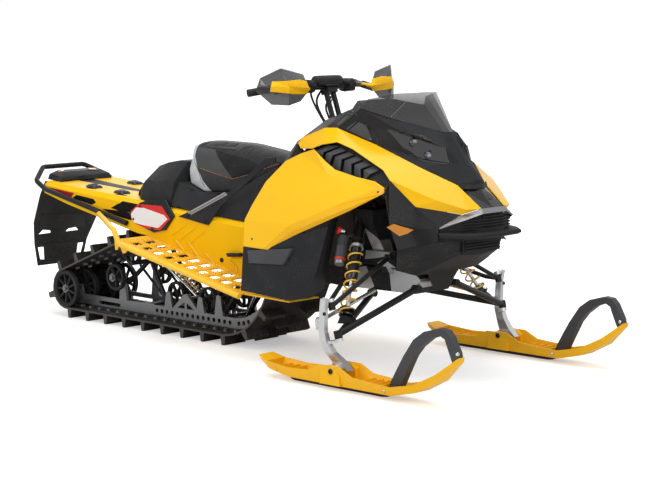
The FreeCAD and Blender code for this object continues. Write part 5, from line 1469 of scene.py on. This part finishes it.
def build_tunnel_details():
    """Embossed folds, toe pegs and plugs on the tunnel's sides, and the serrated treads of the boards."""
    folds = [cable([place(x, side_face, z) for x, z in line], fold_radius, smooth=False, sides=2)
             for line in tunnel_folds]
    detail(folds, "tunnel_folds", "board_paint", pair=True, smooth=60.0)
    peg = plate([place(x, side_face + 0.5, z) for x, z in peg_outline], offset(0.0, -peg_length, 0.0), 3.0)
    plug = turned(place(plug_x, side_face + 1.0, plug_z), rightward, plug_profile, 20)
    detail([peg, plug], "toe_pegs", "black_grained", pair=True)
    outline = [offset(x, -tooth_thickness / 2, z) for x, z in tooth_outline]
    tooth = plate(outline, offset(0.0, tooth_thickness, 0.0), 0.0)
    teeth = []
    for row in range(tooth_rows):
        for step in range(teeth_in_row):
            spot = dropped("running_boards", tooth_first_x + step * tooth_pitch,
                           tooth_first_y + row * tooth_row_pitch)
            if spot is not None and spot.z <= highest_board:
                teeth.append(another(tooth, spot))
    delete(tooth)
    detail(teeth, "board_teeth", "board_paint", pair=True)


# Number plates and seat struts, in the photograph, on upright planes along the machine
plate_face, strut_face, slot_face = -227.5, -228.5, -227.6
plate_screws = ((140.0, 206.3), (166.6, 211.6), (133.4, 219.0), (152.4, 228.4), (151.5, 203.4))
strut_bolts = ((187.4, 216.2), (205.6, 220.6))
strut_bar = ((189.0, 213.0), (225.0, 193.2))
strut_bar_lines = ((0.0, 5.12), (2.0, 3.84))
strut_slot = ((199.0, 212.6), (214.5, 202.6))


def build_plates():
    """Screws of the number plates, and the struts' pale ribbed bars with their bolts."""
    screws = [screw_at(on_side(*pixel, plate_face), rightward, 6.0, 3.0) for pixel in plate_screws]
    screws += [screw_at(on_side(*pixel, plate_face), rightward, 8.0, 4.0) for pixel in strut_bolts]
    detail(screws, "plate_screws", "black_gloss", pair=True)
    bars = []
    for shift, radius in strut_bar_lines:
        ends = [on_side(px + shift, py + shift * 0.6, strut_face) for px, py in strut_bar]
        bars.append(cable(ends, radius, smooth=False))
    detail(bars, "strut_bars", "pale_moulding", pair=True, smooth=60.0)
    slot = cable([on_side(px, py, slot_face) for px, py in strut_slot], 2.4, smooth=False)
    detail(slot, "strut_slots", "black_gloss", pair=True, smooth=60.0)


# Tail lamp: outlines in the photograph of its raised middle, and of each window and what glows in it
lamp_middle = ((67.6, 167.2), (81.4, 166.6), (86.0, 175.6), (71.8, 176.6))
lamp_windows = (
    ("right", ((52.6, 172.9), (56.0, 170.2), (65.6, 168.2), (66.0, 171.6)),
     ((58.0, 171.4), (63.6, 170.0), (63.8, 171.2), (58.2, 172.2))),
    ("left", ((83.4, 167.0), (98.0, 168.0), (99.6, 170.6), (88.6, 170.4)),
     ((88.0, 168.2), (95.4, 168.8), (96.0, 169.8), (89.4, 169.6))))


def build_tail():
    """The tail lamp's raised middle and its two clear windows with amber inside."""
    detail(badge("tail_light", lamp_middle, 5.0, 3.0, 1.6), "lamp_ridge", "black_grained")
    for side, outer, inner in lamp_windows:
        detail(badge("tail_light", outer, 1.6, 2.0, 0.6), "tail_window_" + side, "lamp_glass")
        detail(badge("tail_light", inner, 2.4, 2.0, 0.4), "tail_glow_" + side, "amber")


# Snow flap: the slots seen from behind, and the raised panel and ribs in the photograph
flap_slots = (((-159, 402), (-137, 424), (-86, 417), (-81, 404)), ((16, 402), (30, 416), (80, 420), (101, 403)))
behind_flap = -2680
slot_cut = 320.0
flap_panel = ((42.0, 214.0), (84.0, 213.0), (85.0, 226.0), (38.5, 228.5))
flap_ribs = [("snow_flap", 1.8, ((34.5, 245.0), (84.5, 240.5))),
             ("snow_flap", 1.4, ((38.0, 230.0), (41.0, 213.0))),
             ("snow_flap", 2.0, ((47.0, 260.5), (50.4, 250.4), (75.0, 247.2), (76.6, 255.5)))]
flap_ribs += [("snow_flap", 1.6, ((51.0 + i, 253.0 + i * 2.6), (74.0 + i * 0.4, 249.8 + i * 2.6)))
              for i in range(3)]


def build_flap():
    """The flap with its two slots cut through, and its moulded steps, ribs and raised panel."""
    flap = copy_of("snow_flap", "flap")
    for corners in flap_slots:
        cutter = plate([place(behind_flap, y, z) for y, z in corners], offset(slot_cut, 0.0, 0.0), 0.0)
        applied(flap, "BOOLEAN", object=cutter, operation="DIFFERENCE", solver="EXACT")
        delete(cutter)
    rounded(flap, 1.6, 30.0)
    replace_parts(detail(flap, "snow_flap_cut", "flap_rubber"), "snow_flap")
    detail(badge("snow_flap", flap_panel, 2.2, 1.0, 1.2), "flap_panel", "flap_rubber")
    lines_on("flap_ribs", "flap_rubber", flap_ribs, pair=False)


# Skid frame: wheel bolts in the side view and how far out, and the links in the photograph
wheel_bolts = ((-2286.0, 148.0, 202.0), (-1934.0, 236.0, 176.0))
wheel_bolt_profile = ((-2.0, 24.0), (3.0, 22.0), (3.0, 12.0), (11.0, 12.0), (12.0, 10.5))
skid_links = ((((140.4, 264.9), (168.6, 302.6)), -70.0, 7.0), (((129.5, 282.0), (148.0, 262.0)), -90.0, 12.0))


def build_hubs():
    """Bolt heads and washers on the axles of the wheels, and the skid frame's links."""
    caps = [turned(place(x, -y, z), rightward, wheel_bolt_profile, 6) for x, z, y in wheel_bolts]
    detail(caps, "hub_bolts", "rail_metal", pair=True, smooth=30.0)
    rods = [cable([on_side(px, py, y) for px, py in pixels], radius, smooth=False)
            for pixels, y, radius in skid_links]
    detail(rods, "skid_links", "black_tube", pair=True, smooth=60.0)


# Ski and leg bolts in the photograph: finish, place and radius of each
ski_bolts = {
    "right": (("black_gloss", 330.6, 371.6, 12.0), ("bright_steel", 384.0, 391.0, 7.0)),
    "left": (("black_gloss", 497.9, 335.5, 12.0), ("bright_steel", 552.0, 353.5, 7.0))}
loop_bolts = {"right": (457.5, 354.5), "left": (620.0, 322.0)}
leg_bolts = ((324.0, 297.0), (324.4, 314.0), (331.0, 333.0))
small_bolt_radius, small_bolt_height, ski_bolt_height = 8.0, 5.0, 6.0


def build_ski_details():
    """Bolts in each ski's side and on each leg, riding with what carries them."""
    for side, bolts in ski_bolts.items():
        ski_body = "ski_" + side + "_set"
        for finish, px, py, radius in bolts:
            head = screw("ski_" + side, px, py, radius, ski_bolt_height)
            detail(head, "ski_bolts_" + side + "_" + finish, finish, ski_body, smooth=30.0)
        head = screw("ski_loop_" + side, *loop_bolts[side], small_bolt_radius, small_bolt_height)
        detail(head, "loop_bolt_" + side, "bright_steel", ski_body, smooth=30.0)
    for sign, side in sides_of:
        flip = Vector((1.0, float(sign), 1.0))
        heads = []
        for px, py in leg_bolts:
            spot, normal = seen_on("leg_right", px, py)
            heads.append(screw_at(spot * flip, normal * flip, small_bolt_radius, small_bolt_height))
        detail(heads, "leg_bolts_" + side, "black_gloss", "leg_" + side + "_set", smooth=30.0)


dress()
build_camera()
build_light()
build_floor()
for node, radius in moulded_nodes:
    softened(node, radius)
build_seat()
build_stitches()
build_spring_legs()
build_vents()
build_guards()
build_bars()
build_headlights()
build_nose()
build_track_clips()
build_console()
build_panel_details()
build_tunnel_details()
build_plates()
build_tail()
build_flap()
build_hubs()
build_ski_details()
